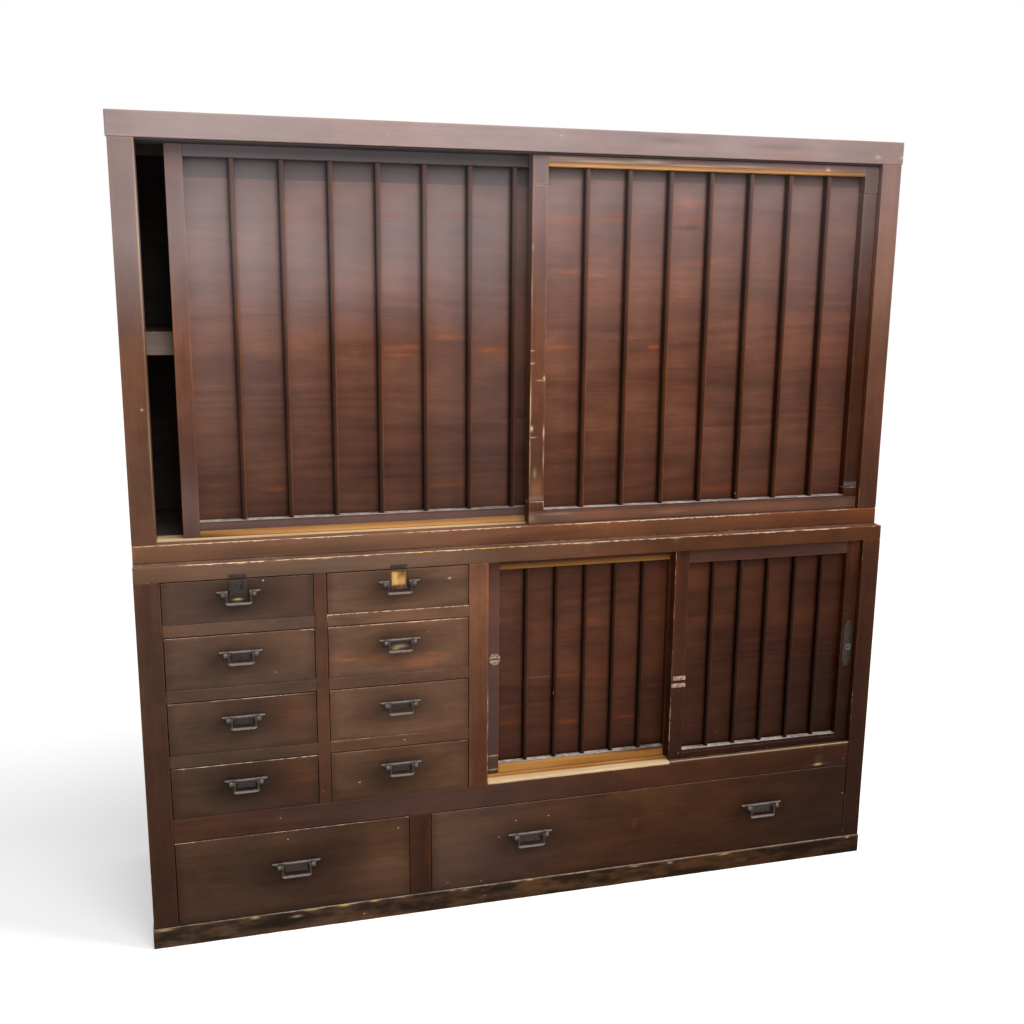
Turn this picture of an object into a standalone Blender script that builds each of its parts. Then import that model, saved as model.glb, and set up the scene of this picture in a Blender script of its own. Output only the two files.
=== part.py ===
"""A two-section stacked clothes chest, built from its separate boards.

The upper chest has a pair of sliding lattice doors over a shelf. The lower chest has two columns
of small drawers, a pair of smaller sliding lattice doors and two wide drawers over a plinth.
Units are metres, +Z is up, the front faces -Y, and the origin is under the middle of the chest.
"""

import math

import bmesh
import bpy
from mathutils import Matrix, Vector

# Clearances
SEAT_GAP = 0.0003            # between pieces that touch
DRAWER_SIDE_GAP = 0.0015     # each side of a drawer front
DRAWER_TOP_GAP = 0.0025      # above a drawer front
DRAWER_BACK_GAP = 0.012      # behind a closed drawer
DOOR_END_GAP = 0.0015        # between a closed door and its post
DOOR_RISE = 0.0010           # door body above the sill it runs on
DOOR_HEAD_GAP = 0.0020       # door body below the head track
TONGUE_SIDE_GAP = 0.0006     # each side of a door tongue in its groove
BAIL_SIDE_GAP = 0.0005       # between a bail's leg and its eye

# Whole chest
CHEST_WIDTH = 1.757
LOWER_DEPTH = 0.455
UPPER_SETBACK = 0.030        # front of the upper chest behind the front of the lower one
SIDE_BOARD = 0.020
BACK_BOARD = 0.010
BACK_INSET = 0.004           # back boards in from the rear edge
SKIRT = 0.023                # rims under the tops and floors
RAIL_RECESS = 0.0010         # inner rails and stiles behind the posts' front
GUIDE_HEIGHT = 0.012         # strips that keep drawers straight

# Lower chest, from the floor up
PLINTH_HEIGHT = 0.047
PLINTH_PROUD = 0.0020        # plinth beyond the posts at the front and ends
PLINTH_RAIL_DEPTH = 0.045
WIDE_ROW_HEIGHT = 0.201
MID_RAIL_HEIGHT = 0.054
FOURTH_ROW_HEIGHT = 0.1200
THIRD_ROW_HEIGHT = 0.1220
SECOND_ROW_HEIGHT = 0.1195
FIRST_ROW_HEIGHT = 0.0950
DIVIDER_RAIL_HEIGHT = 0.0265
DIVIDER_RAIL_DEPTH = 0.030
LOWER_RAIL_HEIGHT = 0.035
DECK_BOARD = 0.012
LID_BOARD = 0.016

# Lower chest, across the front
LOWER_LEFT_POST = 0.0525
LOWER_RIGHT_POST = 0.0460
COLUMN_WIDTH = 0.3175
CENTRE_STILE = 0.027
PARTITION_STILE = 0.045
PARTITION_BOARD = 0.018
WIDE_LEFT_WIDTH = 0.522
WIDE_STILE = 0.050
WIDE_STILE_DEPTH = 0.045
LOWER_SILL_HEIGHT = 0.007

# Upper chest
UPPER_FLOOR_HEIGHT = 0.038
UPPER_OPENING_HEIGHT = 0.811
HEAD_LIP_HEIGHT = 0.006
HEAD_LIP_SETBACK = 0.004
TOP_RAIL_HEIGHT = 0.050
TOP_OVERHANG = 0.003
TOP_BOARD = 0.022
UPPER_POST = 0.0495
SHELF_TOP_ABOVE_SILL = 0.436
SHELF_RAIL_HEIGHT = 0.048
SHELF_RAIL_DEPTH = 0.018
SHELF_BOARD = 0.012
SHELF_SETBACK = 0.005        # shelf rail behind the posts

# Sliding doors
DOOR_FACE_SETBACK = 0.012    # front door face behind the posts' front
UPPER_DOOR_THICKNESS = 0.032
LOWER_DOOR_THICKNESS = 0.026
UPPER_TRACK_SPACE = 0.006    # between the front and the rear door
LOWER_TRACK_SPACE = 0.004
UPPER_DOOR_OVERLAP = 0.042   # of the closed pair
LOWER_DOOR_OVERLAP = 0.030
UPPER_DOOR_ODDS = 0.008      # the left door is this much over half, the right one under
UPPER_LEFT_DOOR_OPEN = 0.055
DOOR_STILE = 0.035
UPPER_DOOR_TOP_RAIL = 0.020
LOWER_DOOR_TOP_RAIL = 0.031
DOOR_BOTTOM_RAIL = 0.033
LOWER_DOOR_BOTTOM_RAIL = 0.022
RUNNER_HEIGHT = 0.014        # lowest part of the bottom rail, in line with the stiles
RAIL_STEP = 0.0015           # the rest of the bottom rail behind it
SLAT_WIDTH = 0.014
SLAT_CHAMFER = 0.003
SLAT_SETBACK = 0.006         # slat fronts behind the stiles
UPPER_SLATS = 7
LOWER_SLATS = 5
PANEL_THICKNESS = 0.006
PANEL_LAP = 0.008            # panel behind the stiles and rails
PANEL_BACK_INSET = 0.002     # panel in from the door's rear face
TONGUE_THICKNESS = 0.010
TONGUE_BACK = 0.004          # tongue in from the door's rear face
TRACK_MARGIN = 0.008         # posts and tracks behind the rear door
HEAD_WALL = 0.008            # head track in front of its first groove
SILL_GROOVE_DEPTH = 0.004
TOP_TONGUE = 0.009
HEAD_GROOVE_DEPTH = 0.014
JOINT_BITE = 0.002           # how far fused parts of one piece run into each other

# Drawers
DRAWER_RECESS = 0.0010
DRAWER_FRONT = 0.020
DRAWER_WALL = 0.009
DRAWER_BOTTOM = 0.006
TRAY_INSET = 0.0015          # tray sides in from the ends of the front
TRAY_DROP = 0.010            # tray rim below the top of the front

# Drop handles
SMALL_BAIL_WIDTH = 0.056
LARGE_BAIL_WIDTH = 0.067
SMALL_BAIL_DROP = 0.0235
LARGE_BAIL_DROP = 0.0275
SMALL_WING_OVERHANG = 0.0095
LARGE_WING_OVERHANG = 0.0120
SMALL_HANDLE_RISE = 0.016    # pivot above the middle of the row
LARGE_HANDLE_RISE = 0.018
WIDE_HANDLE_INSET = 0.240    # of the wide right drawer's two handles from its ends
BAIL_BAR = 0.005
BAIL_HEEL = 0.0035           # bail leg above its pivot
PIN_RADIUS = 0.0023
PIN_PROUD = 0.0006
PIN_CLEARANCE = 0.0006
EYE_WALL = 0.0026
EYE_LENGTH = 0.008
EYE_STANDOFF = 0.0135        # pivot in front of the drawer front
NECK_HEIGHT = 0.008
WING_THICKNESS = 0.005
WING_RISE = 0.005
WING_FALL = 0.005
WING_TIP = 0.002
BACKPLATE_THICKNESS = 0.0015
BACKPLATE_MARGIN = 0.003
PIN_SIDES = 12

# Planes worked out from the driving dimensions
HALF = CHEST_WIDTH / 2
EYE_HOLE_RADIUS = PIN_RADIUS + PIN_CLEARANCE
EYE_RADIUS = EYE_HOLE_RADIUS + EYE_WALL
HANDLE_REACH = EYE_STANDOFF + EYE_RADIUS - DRAWER_RECESS
FRONT = -(LOWER_DEPTH - HANDLE_REACH) / 2
BACK = FRONT + LOWER_DEPTH
UPPER_FRONT = FRONT + UPPER_SETBACK
BACK_PANEL = (BACK - BACK_INSET - BACK_BOARD, BACK - BACK_INSET)
INNER_BACK = BACK_PANEL[0] - SEAT_GAP
SIDE_INNER = HALF - SIDE_BOARD

ROW_HEIGHTS = (FOURTH_ROW_HEIGHT, THIRD_ROW_HEIGHT, SECOND_ROW_HEIGHT, FIRST_ROW_HEIGHT)
WIDE_BOTTOM = PLINTH_HEIGHT
WIDE_TOP = WIDE_BOTTOM + WIDE_ROW_HEIGHT
DECK_TOP = WIDE_TOP + MID_RAIL_HEIGHT
LOWER_RAIL_BOTTOM = DECK_TOP + sum(ROW_HEIGHTS) + DIVIDER_RAIL_HEIGHT * (len(ROW_HEIGHTS) - 1)
LOWER_TOP = LOWER_RAIL_BOTTOM + LOWER_RAIL_HEIGHT
LOWER_SILL_TOP = DECK_TOP + LOWER_SILL_HEIGHT

UPPER_BOTTOM = LOWER_TOP + SEAT_GAP
UPPER_SILL = UPPER_BOTTOM + UPPER_FLOOR_HEIGHT
HEAD_BOTTOM = UPPER_SILL + UPPER_OPENING_HEIGHT
TOP_RAIL_BOTTOM = HEAD_BOTTOM + HEAD_LIP_HEIGHT
CHEST_TOP = TOP_RAIL_BOTTOM + TOP_RAIL_HEIGHT
SHELF_TOP = UPPER_SILL + SHELF_TOP_ABOVE_SILL

LEFT_POST_EDGE = -HALF + LOWER_LEFT_POST
RIGHT_POST_EDGE = HALF - LOWER_RIGHT_POST
CENTRE_LEFT = LEFT_POST_EDGE + COLUMN_WIDTH
CENTRE_RIGHT = CENTRE_LEFT + CENTRE_STILE
PARTITION_LEFT = CENTRE_RIGHT + COLUMN_WIDTH
PARTITION_RIGHT = PARTITION_LEFT + PARTITION_STILE
WIDE_STILE_LEFT = LEFT_POST_EDGE + WIDE_LEFT_WIDTH
WIDE_STILE_RIGHT = WIDE_STILE_LEFT + WIDE_STILE
LAP_LINE = (FRONT + BACK) / 2    # where the dividers lap over the centre partition


class Track:
    """Depths of the two door tracks of one chest, measured from its front plane."""

    def __init__(self, front: float, thickness: float, space: float):
        self.thickness = thickness
        self.front_face = front + DOOR_FACE_SETBACK
        self.rear_face = self.front_face + thickness + space
        self.back = self.rear_face + thickness + TRACK_MARGIN

    def tongue(self, face: float) -> tuple:
        """Depth limits of the tongue of the door whose face is given."""
        rear = face + self.thickness - TONGUE_BACK
        return (rear - TONGUE_THICKNESS, rear)

    def grooves(self) -> list:
        """Depth limits of the front and the rear groove."""
        limits = [self.tongue(self.front_face), self.tongue(self.rear_face)]
        return [(low - TONGUE_SIDE_GAP, high + TONGUE_SIDE_GAP) for low, high in limits]


UPPER_TRACK = Track(UPPER_FRONT, UPPER_DOOR_THICKNESS, UPPER_TRACK_SPACE)
LOWER_TRACK = Track(FRONT, LOWER_DOOR_THICKNESS, LOWER_TRACK_SPACE)
POST_BACK = LOWER_TRACK.back
UPPER_POST_BACK = UPPER_TRACK.back
TOP_RAIL_BACK = UPPER_TRACK.grooves()[0][0] - HEAD_WALL


def make_material(name: str, colour: tuple, roughness: float, metallic: float = 0.0):
    """A plain Principled material."""
    material = bpy.data.materials.new(name)
    material.use_nodes = True
    shader = material.node_tree.nodes["Principled BSDF"]
    shader.inputs["Base Color"].default_value = (*colour, 1.0)
    shader.inputs["Roughness"].default_value = roughness
    shader.inputs["Metallic"].default_value = metallic
    return material


def to_object(name: str, bm):
    """Put a bmesh into a new linked object."""
    bmesh.ops.recalc_face_normals(bm, faces=bm.faces)
    mesh = bpy.data.meshes.new(name)
    bm.to_mesh(mesh)
    bm.free()
    item = bpy.data.objects.new(name, mesh)
    bpy.context.scene.collection.objects.link(item)
    return item


def block(name: str, x: tuple, y: tuple, z: tuple):
    """A box between a low and a high limit on each axis."""
    low = Vector((x[0], y[0], z[0]))
    size = Vector((x[1], y[1], z[1])) - low
    bm = bmesh.new()
    bmesh.ops.create_cube(bm, size=1.0)
    half = Vector((0.5, 0.5, 0.5))
    for vertex in bm.verts:
        corner = vertex.co + half
        vertex.co = low + Vector((corner.x * size.x, corner.y * size.y, corner.z * size.z))
    return to_object(name, bm)


def prism(name: str, outline: list, place, travel: Vector):
    """A flat outline, placed in space point by point, swept along a straight line."""
    bm = bmesh.new()
    face = bm.faces.new([bm.verts.new(place(*point)) for point in outline])
    swept = bmesh.ops.extrude_face_region(bm, geom=[face])["geom"]
    moved = [item for item in swept if isinstance(item, bmesh.types.BMVert)]
    bmesh.ops.translate(bm, verts=moved, vec=travel)
    return to_object(name, bm)


def across(name: str, outline: list, x: tuple):
    """A depth and height outline swept across the chest."""
    return prism(name, outline, lambda y, z: (x[0], y, z), Vector((x[1] - x[0], 0, 0)))


def upright(name: str, outline: list, z: tuple):
    """A plan outline swept upwards."""
    return prism(name, outline, lambda x, y: (x, y, z[0]), Vector((0, 0, z[1] - z[0])))


def frontal(name: str, outline: list, y: tuple):
    """A front-view outline swept backwards."""
    return prism(name, outline, lambda x, z: (x, y[0], z), Vector((0, y[1] - y[0], 0)))


def rod(name: str, x: tuple, y: float, z: float, radius: float):
    """A round bar along X."""
    bm = bmesh.new()
    turn = Matrix.Rotation(math.pi / 2, 4, "Y")
    middle = Matrix.Translation(((x[0] + x[1]) / 2, y, z))
    bmesh.ops.create_cone(
        bm, cap_ends=True, segments=PIN_SIDES, radius1=radius, radius2=radius,
        depth=x[1] - x[0], matrix=middle @ turn)
    return to_object(name, bm)


def combine(target, other, operation: str):
    """Join another shape to an object, or cut it away, and drop that shape."""
    modifier = target.modifiers.new(operation, "BOOLEAN")
    modifier.operation = operation
    modifier.solver = "EXACT"
    modifier.object = other
    graph = bpy.context.evaluated_depsgraph_get()
    mesh = bpy.data.meshes.new_from_object(target.evaluated_get(graph))
    target.modifiers.clear()
    mesh.name = target.name
    spent = [target.data, other.data]
    target.data = mesh
    bpy.data.objects.remove(other)
    for item in spent:
        bpy.data.meshes.remove(item)
    return target


def fuse(target, *others):
    """One body from several overlapping ones."""
    for other in others:
        combine(target, other, "UNION")
    return target


def carve(target, *cutters):
    """Cut shapes out of a body."""
    for cutter in cutters:
        combine(target, cutter, "DIFFERENCE")
    return target


def finish(item, material, origin: Vector = None, parent=None):
    """Give an object its material, its origin and what it rides on."""
    item.data.materials.clear()
    item.data.materials.append(material)
    place = Vector(origin) if origin else Vector()
    item.data.transform(Matrix.Translation(-place))
    item.location = place
    if parent:
        item.parent = parent
        item.location = place - parent.location
    return item


FRAME_WOOD = make_material("frame_wood", (0.105, 0.045, 0.026), 0.42)
INNER_WOOD = make_material("inner_wood", (0.240, 0.150, 0.090), 0.70)
SILL_WOOD = make_material("sill_wood", (0.520, 0.340, 0.170), 0.60)
DRAWER_WOOD = make_material("drawer_wood", (0.085, 0.036, 0.020), 0.45)
LATTICE_WOOD = make_material("lattice_wood", (0.075, 0.034, 0.022), 0.42)
PANEL_WOOD = make_material("panel_wood", (0.110, 0.040, 0.022), 0.38)
PLINTH_WOOD = make_material("plinth_wood", (0.050, 0.028, 0.020), 0.60)
IRON = make_material("iron", (0.060, 0.056, 0.055), 0.50, 0.85)


def build_upper_case(root):
    """Floor, sides, back, head track, shelf and top of the upper chest."""
    pocket_x = (-HALF + SKIRT, HALF - SKIRT)
    inside_x = (-HALF + UPPER_POST, HALF - UPPER_POST)

    floor = block("upper_floor", (-HALF, HALF), (UPPER_FRONT, BACK), (UPPER_BOTTOM, UPPER_SILL))
    carve(floor, block("pocket", pocket_x, (UPPER_POST_BACK, BACK - SKIRT),
                            (UPPER_BOTTOM - JOINT_BITE, UPPER_SILL - LID_BOARD)))
    for low, high in UPPER_TRACK.grooves():
        groove_z = (UPPER_SILL - SILL_GROOVE_DEPTH, UPPER_SILL + JOINT_BITE)
        carve(floor, block("groove", inside_x, (low, high), groove_z))
    finish(floor, SILL_WOOD, parent=root)

    wall_z = (UPPER_SILL + SEAT_GAP, TOP_RAIL_BOTTOM - SEAT_GAP)
    for side, sign in (("left", -1), ("right", 1)):
        outer, panel, post = (sign * edge for edge in (HALF, SIDE_INNER, HALF - UPPER_POST))
        plan = [(outer, UPPER_FRONT), (post, UPPER_FRONT), (post, UPPER_POST_BACK),
                (panel, UPPER_POST_BACK), (panel, BACK), (outer, BACK)]
        finish(upright(f"upper_{side}_side", plan, wall_z), FRAME_WOOD, parent=root)

    panel_x = (-SIDE_INNER + SEAT_GAP, SIDE_INNER - SEAT_GAP)
    finish(block("upper_back", panel_x, BACK_PANEL, wall_z), INNER_WOOD, parent=root)

    top = block("upper_top", (-HALF - TOP_OVERHANG, HALF + TOP_OVERHANG), (UPPER_FRONT, BACK),
                (TOP_RAIL_BOTTOM, CHEST_TOP))
    carve(top, block("pocket", pocket_x, (TOP_RAIL_BACK, BACK - SKIRT),
                          (TOP_RAIL_BOTTOM - JOINT_BITE, CHEST_TOP - TOP_BOARD)))
    finish(top, FRAME_WOOD, parent=root)

    lip = UPPER_FRONT + HEAD_LIP_SETBACK
    behind_rail = TOP_RAIL_BACK + SEAT_GAP
    lip_top = TOP_RAIL_BOTTOM - SEAT_GAP
    head_top = CHEST_TOP - TOP_BOARD - SEAT_GAP
    outline = [(lip, HEAD_BOTTOM), (lip, lip_top), (behind_rail, lip_top), (behind_rail, head_top),
               (UPPER_POST_BACK, head_top), (UPPER_POST_BACK, HEAD_BOTTOM)]
    head_x = (inside_x[0] + SEAT_GAP, inside_x[1] - SEAT_GAP)
    head = across("upper_head_track", outline, head_x)
    for low, high in UPPER_TRACK.grooves():
        groove_z = (HEAD_BOTTOM - JOINT_BITE, HEAD_BOTTOM + HEAD_GROOVE_DEPTH)
        carve(head, block("groove", (-HALF, HALF), (low, high), groove_z))
    finish(head, FRAME_WOOD, parent=root)

    shelf_front = UPPER_POST_BACK + SHELF_SETBACK
    shelf = block("upper_shelf", panel_x, (shelf_front, shelf_front + SHELF_RAIL_DEPTH),
                  (SHELF_TOP - SHELF_RAIL_HEIGHT, SHELF_TOP))
    fuse(shelf, block("board", panel_x, (shelf_front + JOINT_BITE, INNER_BACK),
                      (SHELF_TOP - SHELF_BOARD, SHELF_TOP)))
    finish(shelf, INNER_WOOD, parent=root)


def build_lower_case(root):
    """Plinth, sides, back, deck, partitions, dividers, sill and top of the lower chest."""
    pocket_x = (-HALF + SKIRT, HALF - SKIRT)
    panel_x = (-SIDE_INNER + SEAT_GAP, SIDE_INNER - SEAT_GAP)
    behind_posts = POST_BACK + SEAT_GAP

    base = block("plinth_base", (-HALF - PLINTH_PROUD, HALF + PLINTH_PROUD),
                 (FRONT - PLINTH_PROUD, BACK), (0, PLINTH_HEIGHT))
    carve(base, block("pocket", pocket_x, (FRONT + PLINTH_RAIL_DEPTH, BACK - SKIRT),
                           (-JOINT_BITE, PLINTH_HEIGHT - DECK_BOARD)))
    guide_z = (PLINTH_HEIGHT - JOINT_BITE, PLINTH_HEIGHT + GUIDE_HEIGHT)
    for limits in ((panel_x[0], LEFT_POST_EDGE), (RIGHT_POST_EDGE, panel_x[1])):
        fuse(base, block("guide", limits, (behind_posts, INNER_BACK), guide_z))
    finish(base, PLINTH_WOOD, parent=root)

    wall_z = (PLINTH_HEIGHT + SEAT_GAP, LOWER_RAIL_BOTTOM - SEAT_GAP)
    edges = {"left": (-HALF, -SIDE_INNER, LEFT_POST_EDGE), "right": (HALF, SIDE_INNER, RIGHT_POST_EDGE)}
    for side, (outer, panel, post) in edges.items():
        plan = [(outer, FRONT), (post, FRONT), (post, POST_BACK), (panel, POST_BACK),
                (panel, BACK), (outer, BACK)]
        finish(upright(f"lower_{side}_side", plan, wall_z), FRAME_WOOD, parent=root)

    finish(block("lower_back", panel_x, BACK_PANEL, wall_z), INNER_WOOD, parent=root)

    rail_x = (LEFT_POST_EDGE + SEAT_GAP, RIGHT_POST_EDGE - SEAT_GAP)
    deck = block("mid_deck", rail_x, (FRONT + RAIL_RECESS, behind_posts + JOINT_BITE),
                 (WIDE_TOP, DECK_TOP))
    fuse(deck, block("board", panel_x, (behind_posts, INNER_BACK), (DECK_TOP - DECK_BOARD, DECK_TOP)))
    add_guide(deck, DECK_TOP)
    finish(deck, FRAME_WOOD, parent=root)

    build_wide_partition(root)
    build_drawer_walls(root)
    build_lower_sill(root)

    top = block("lower_top", (-HALF, HALF), (FRONT, BACK), (LOWER_RAIL_BOTTOM, LOWER_TOP))
    carve(top, block("pocket", pocket_x, (POST_BACK, BACK - SKIRT),
                          (LOWER_RAIL_BOTTOM - JOINT_BITE, LOWER_TOP - LID_BOARD)))
    for limits in LOWER_TRACK.grooves():
        groove_z = (LOWER_RAIL_BOTTOM - JOINT_BITE, LOWER_RAIL_BOTTOM + HEAD_GROOVE_DEPTH)
        carve(top, block("groove", (PARTITION_RIGHT, RIGHT_POST_EDGE), limits, groove_z))
    finish(top, FRAME_WOOD, parent=root)


def add_guide(board, top: float):
    """Fuse the strip that guides the left drawers on to a board behind the left post."""
    fuse(board, block("guide", (-SIDE_INNER + SEAT_GAP, LEFT_POST_EDGE),
                      (POST_BACK + SEAT_GAP, INNER_BACK), (top - JOINT_BITE, top + GUIDE_HEIGHT)))


def build_wide_partition(root):
    """The stile, wall and guide between the two wide drawers."""
    z = (PLINTH_HEIGHT + SEAT_GAP, WIDE_TOP - SEAT_GAP)
    stile_x = (WIDE_STILE_LEFT, WIDE_STILE_RIGHT)
    stile_back = FRONT + WIDE_STILE_DEPTH
    middle = (WIDE_STILE_LEFT + WIDE_STILE_RIGHT) / 2
    wall_x = (middle - PARTITION_BOARD / 2, middle + PARTITION_BOARD / 2)
    stile = block("wide_drawer_partition", stile_x, (FRONT + RAIL_RECESS, stile_back), z)
    fuse(stile,
         block("wall", wall_x, (stile_back - JOINT_BITE, INNER_BACK), z),
         block("guide", stile_x, (stile_back - JOINT_BITE, INNER_BACK), (z[0], z[0] + GUIDE_HEIGHT)))
    finish(stile, FRAME_WOOD, parent=root)


def row_bottoms() -> list:
    """Height of the bottom of each small drawer row, from the lowest up."""
    bottoms = [DECK_TOP]
    for height in ROW_HEIGHTS[:-1]:
        bottoms.append(bottoms[-1] + height + DIVIDER_RAIL_HEIGHT)
    return bottoms


def build_drawer_walls(root):
    """The partitions beside the small drawers, and the dividers lapped over the middle one."""
    wall_z = (DECK_TOP + SEAT_GAP, LOWER_RAIL_BOTTOM - SEAT_GAP)
    front = FRONT + RAIL_RECESS
    centre = block("centre_partition", (CENTRE_LEFT, CENTRE_RIGHT), (front, INNER_BACK), wall_z)
    for top in row_bottoms()[1:]:
        slot_z = (top - DECK_BOARD - SEAT_GAP, top + SEAT_GAP)
        carve(centre, block("slot", (CENTRE_LEFT - JOINT_BITE, CENTRE_RIGHT + JOINT_BITE),
                            (LAP_LINE - SEAT_GAP, BACK), slot_z))
    finish(centre, FRAME_WOOD, parent=root)

    plan = [(PARTITION_LEFT, FRONT), (PARTITION_RIGHT, FRONT), (PARTITION_RIGHT, POST_BACK),
            (PARTITION_LEFT + PARTITION_BOARD, POST_BACK), (PARTITION_LEFT + PARTITION_BOARD, INNER_BACK),
            (PARTITION_LEFT, INNER_BACK)]
    finish(upright("door_partition", plan, wall_z), FRAME_WOOD, parent=root)

    rail_x = (LEFT_POST_EDGE + SEAT_GAP, PARTITION_LEFT - SEAT_GAP)
    rail_back = front + DIVIDER_RAIL_DEPTH
    slot_x = (CENTRE_LEFT - SEAT_GAP, CENTRE_RIGHT + SEAT_GAP)
    for number, top in enumerate(row_bottoms()[1:], start=1):
        board_z = (top - DECK_BOARD, top)
        divider = block(f"drawer_divider_{number}", rail_x, (front, rail_back),
                        (top - DIVIDER_RAIL_HEIGHT, top))
        fuse(divider,
             block("board", rail_x, (rail_back - JOINT_BITE, INNER_BACK), board_z),
             block("wing", (-SIDE_INNER + SEAT_GAP, LEFT_POST_EDGE + JOINT_BITE),
                   (POST_BACK + SEAT_GAP, INNER_BACK), board_z))
        add_guide(divider, top)
        carve(divider, block("slot", slot_x, (FRONT - JOINT_BITE, LAP_LINE),
                             (top - DIVIDER_RAIL_HEIGHT - JOINT_BITE, top + JOINT_BITE)))
        finish(divider, FRAME_WOOD, parent=root)


def build_lower_sill(root):
    """The grooved strip that the lower doors run on."""
    x = (PARTITION_RIGHT + SEAT_GAP, RIGHT_POST_EDGE - SEAT_GAP)
    sill = block("lower_door_sill", x, (FRONT + RAIL_RECESS, POST_BACK),
                 (DECK_TOP + SEAT_GAP, LOWER_SILL_TOP))
    for limits in LOWER_TRACK.grooves():
        groove_z = (LOWER_SILL_TOP - SILL_GROOVE_DEPTH, LOWER_SILL_TOP + JOINT_BITE)
        carve(sill, block("groove", (-HALF, HALF), limits, groove_z))
    finish(sill, SILL_WOOD, parent=root)


class Door:
    """A sliding door: a fused lattice of stiles, rails and slats, with a panel let into its back."""

    def __init__(self, name: str, left: float, width: float, face: float, track: Track,
                 sill: float, head: float, slats: int, top_rail: float, bottom_rail: float):
        self.name = name
        self.left, self.right = left, left + width
        self.face, self.rear = face, face + track.thickness
        self.tongue = track.tongue(face)
        self.sill, self.head = sill, head
        self.bottom, self.top = sill + DOOR_RISE, head - DOOR_HEAD_GAP
        self.slats = slats
        self.panel_plane = self.rear - PANEL_BACK_INSET - PANEL_THICKNESS
        self.bay_z = (self.bottom + bottom_rail, self.top - top_rail)
        self.bay_x = (self.left + DOOR_STILE, self.right - DOOR_STILE)

    def slat_lefts(self) -> list:
        """Left edge of each slat, with equal clear bays between the stiles."""
        clear = self.bay_x[1] - self.bay_x[0] - SLAT_WIDTH * self.slats
        bay = clear / (self.slats + 1)
        return [self.bay_x[0] + bay + (bay + SLAT_WIDTH) * number for number in range(self.slats)]

    def slat(self, left: float):
        """One slat with its front corners chamfered."""
        right = left + SLAT_WIDTH
        near, far = self.face + SLAT_SETBACK, self.panel_plane - SEAT_GAP
        plan = [(left + SLAT_CHAMFER, near), (right - SLAT_CHAMFER, near), (right, near + SLAT_CHAMFER),
                (right, far), (left, far), (left, near + SLAT_CHAMFER)]
        return upright("slat", plan, (self.bay_z[0] - JOINT_BITE, self.bay_z[1] + JOINT_BITE))

    def lattice(self):
        """Stiles, rails, runner, tongues and slats as one body."""
        full_y = (self.face, self.rear)
        across_x = (self.left, self.right)
        rail_x = (self.bay_x[0] - JOINT_BITE, self.bay_x[1] + JOINT_BITE)
        sill_floor = self.sill - SILL_GROOVE_DEPTH + SEAT_GAP
        frame = block(f"{self.name}_lattice", (self.left, self.bay_x[0]), full_y, (self.bottom, self.top))
        fuse(frame,
             block("runner", across_x, full_y, (self.bottom, self.bottom + RUNNER_HEIGHT)),
             block("rail", rail_x, (self.face + RAIL_STEP, self.rear), (self.bottom, self.bay_z[0])),
             block("rail", across_x, full_y, (self.bay_z[1], self.top)),
             block("stile", (self.bay_x[1], self.right), full_y, (self.bottom, self.top)),
             block("tongue", across_x, self.tongue, (sill_floor, self.bottom + JOINT_BITE)),
             block("tongue", across_x, self.tongue, (self.top - JOINT_BITE, self.head + TOP_TONGUE)))
        carve(frame, block("rebate", (self.bay_x[0] - PANEL_LAP, self.bay_x[1] + PANEL_LAP),
                           (self.panel_plane, self.rear + JOINT_BITE),
                           (self.bay_z[0] - PANEL_LAP, self.bay_z[1] + PANEL_LAP)))
        return fuse(frame, *(self.slat(left) for left in self.slat_lefts()))

    def panel(self):
        """The board behind the slats."""
        lap = PANEL_LAP - SEAT_GAP
        near = self.panel_plane + SEAT_GAP
        return block(f"{self.name}_panel", (self.bay_x[0] - lap, self.bay_x[1] + lap),
                     (near, near + PANEL_THICKNESS), (self.bay_z[0] - lap, self.bay_z[1] + lap))

    def build(self, root):
        """Make both pieces, with the door's lower left corner as their origin."""
        corner = Vector((self.left, self.face, self.bottom))
        lattice = finish(self.lattice(), LATTICE_WOOD, corner, root)
        finish(self.panel(), PANEL_WOOD, corner, lattice)


def build_doors(root):
    """The four sliding doors: on each level the left one runs behind the right one."""
    left_stop, right_stop = -HALF + UPPER_POST, HALF - UPPER_POST
    half_width = (right_stop - left_stop + UPPER_DOOR_OVERLAP) / 2
    upper = dict(track=UPPER_TRACK, sill=UPPER_SILL, head=HEAD_BOTTOM, slats=UPPER_SLATS,
                 top_rail=UPPER_DOOR_TOP_RAIL, bottom_rail=DOOR_BOTTOM_RAIL)
    left_width, right_width = half_width + UPPER_DOOR_ODDS, half_width - UPPER_DOOR_ODDS
    Door("upper_left_door", left_stop + UPPER_LEFT_DOOR_OPEN, left_width,
         UPPER_TRACK.rear_face, **upper).build(root)
    Door("upper_right_door", right_stop - DOOR_END_GAP - right_width, right_width,
         UPPER_TRACK.front_face, **upper).build(root)

    width = (RIGHT_POST_EDGE - PARTITION_RIGHT + LOWER_DOOR_OVERLAP) / 2
    lower = dict(track=LOWER_TRACK, sill=LOWER_SILL_TOP, head=LOWER_RAIL_BOTTOM, slats=LOWER_SLATS,
                 top_rail=LOWER_DOOR_TOP_RAIL, bottom_rail=LOWER_DOOR_BOTTOM_RAIL)
    Door("lower_left_door", PARTITION_RIGHT + DOOR_END_GAP, width,
         LOWER_TRACK.rear_face, **lower).build(root)
    Door("lower_right_door", RIGHT_POST_EDGE - DOOR_END_GAP - width, width,
         LOWER_TRACK.front_face, **lower).build(root)


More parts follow.
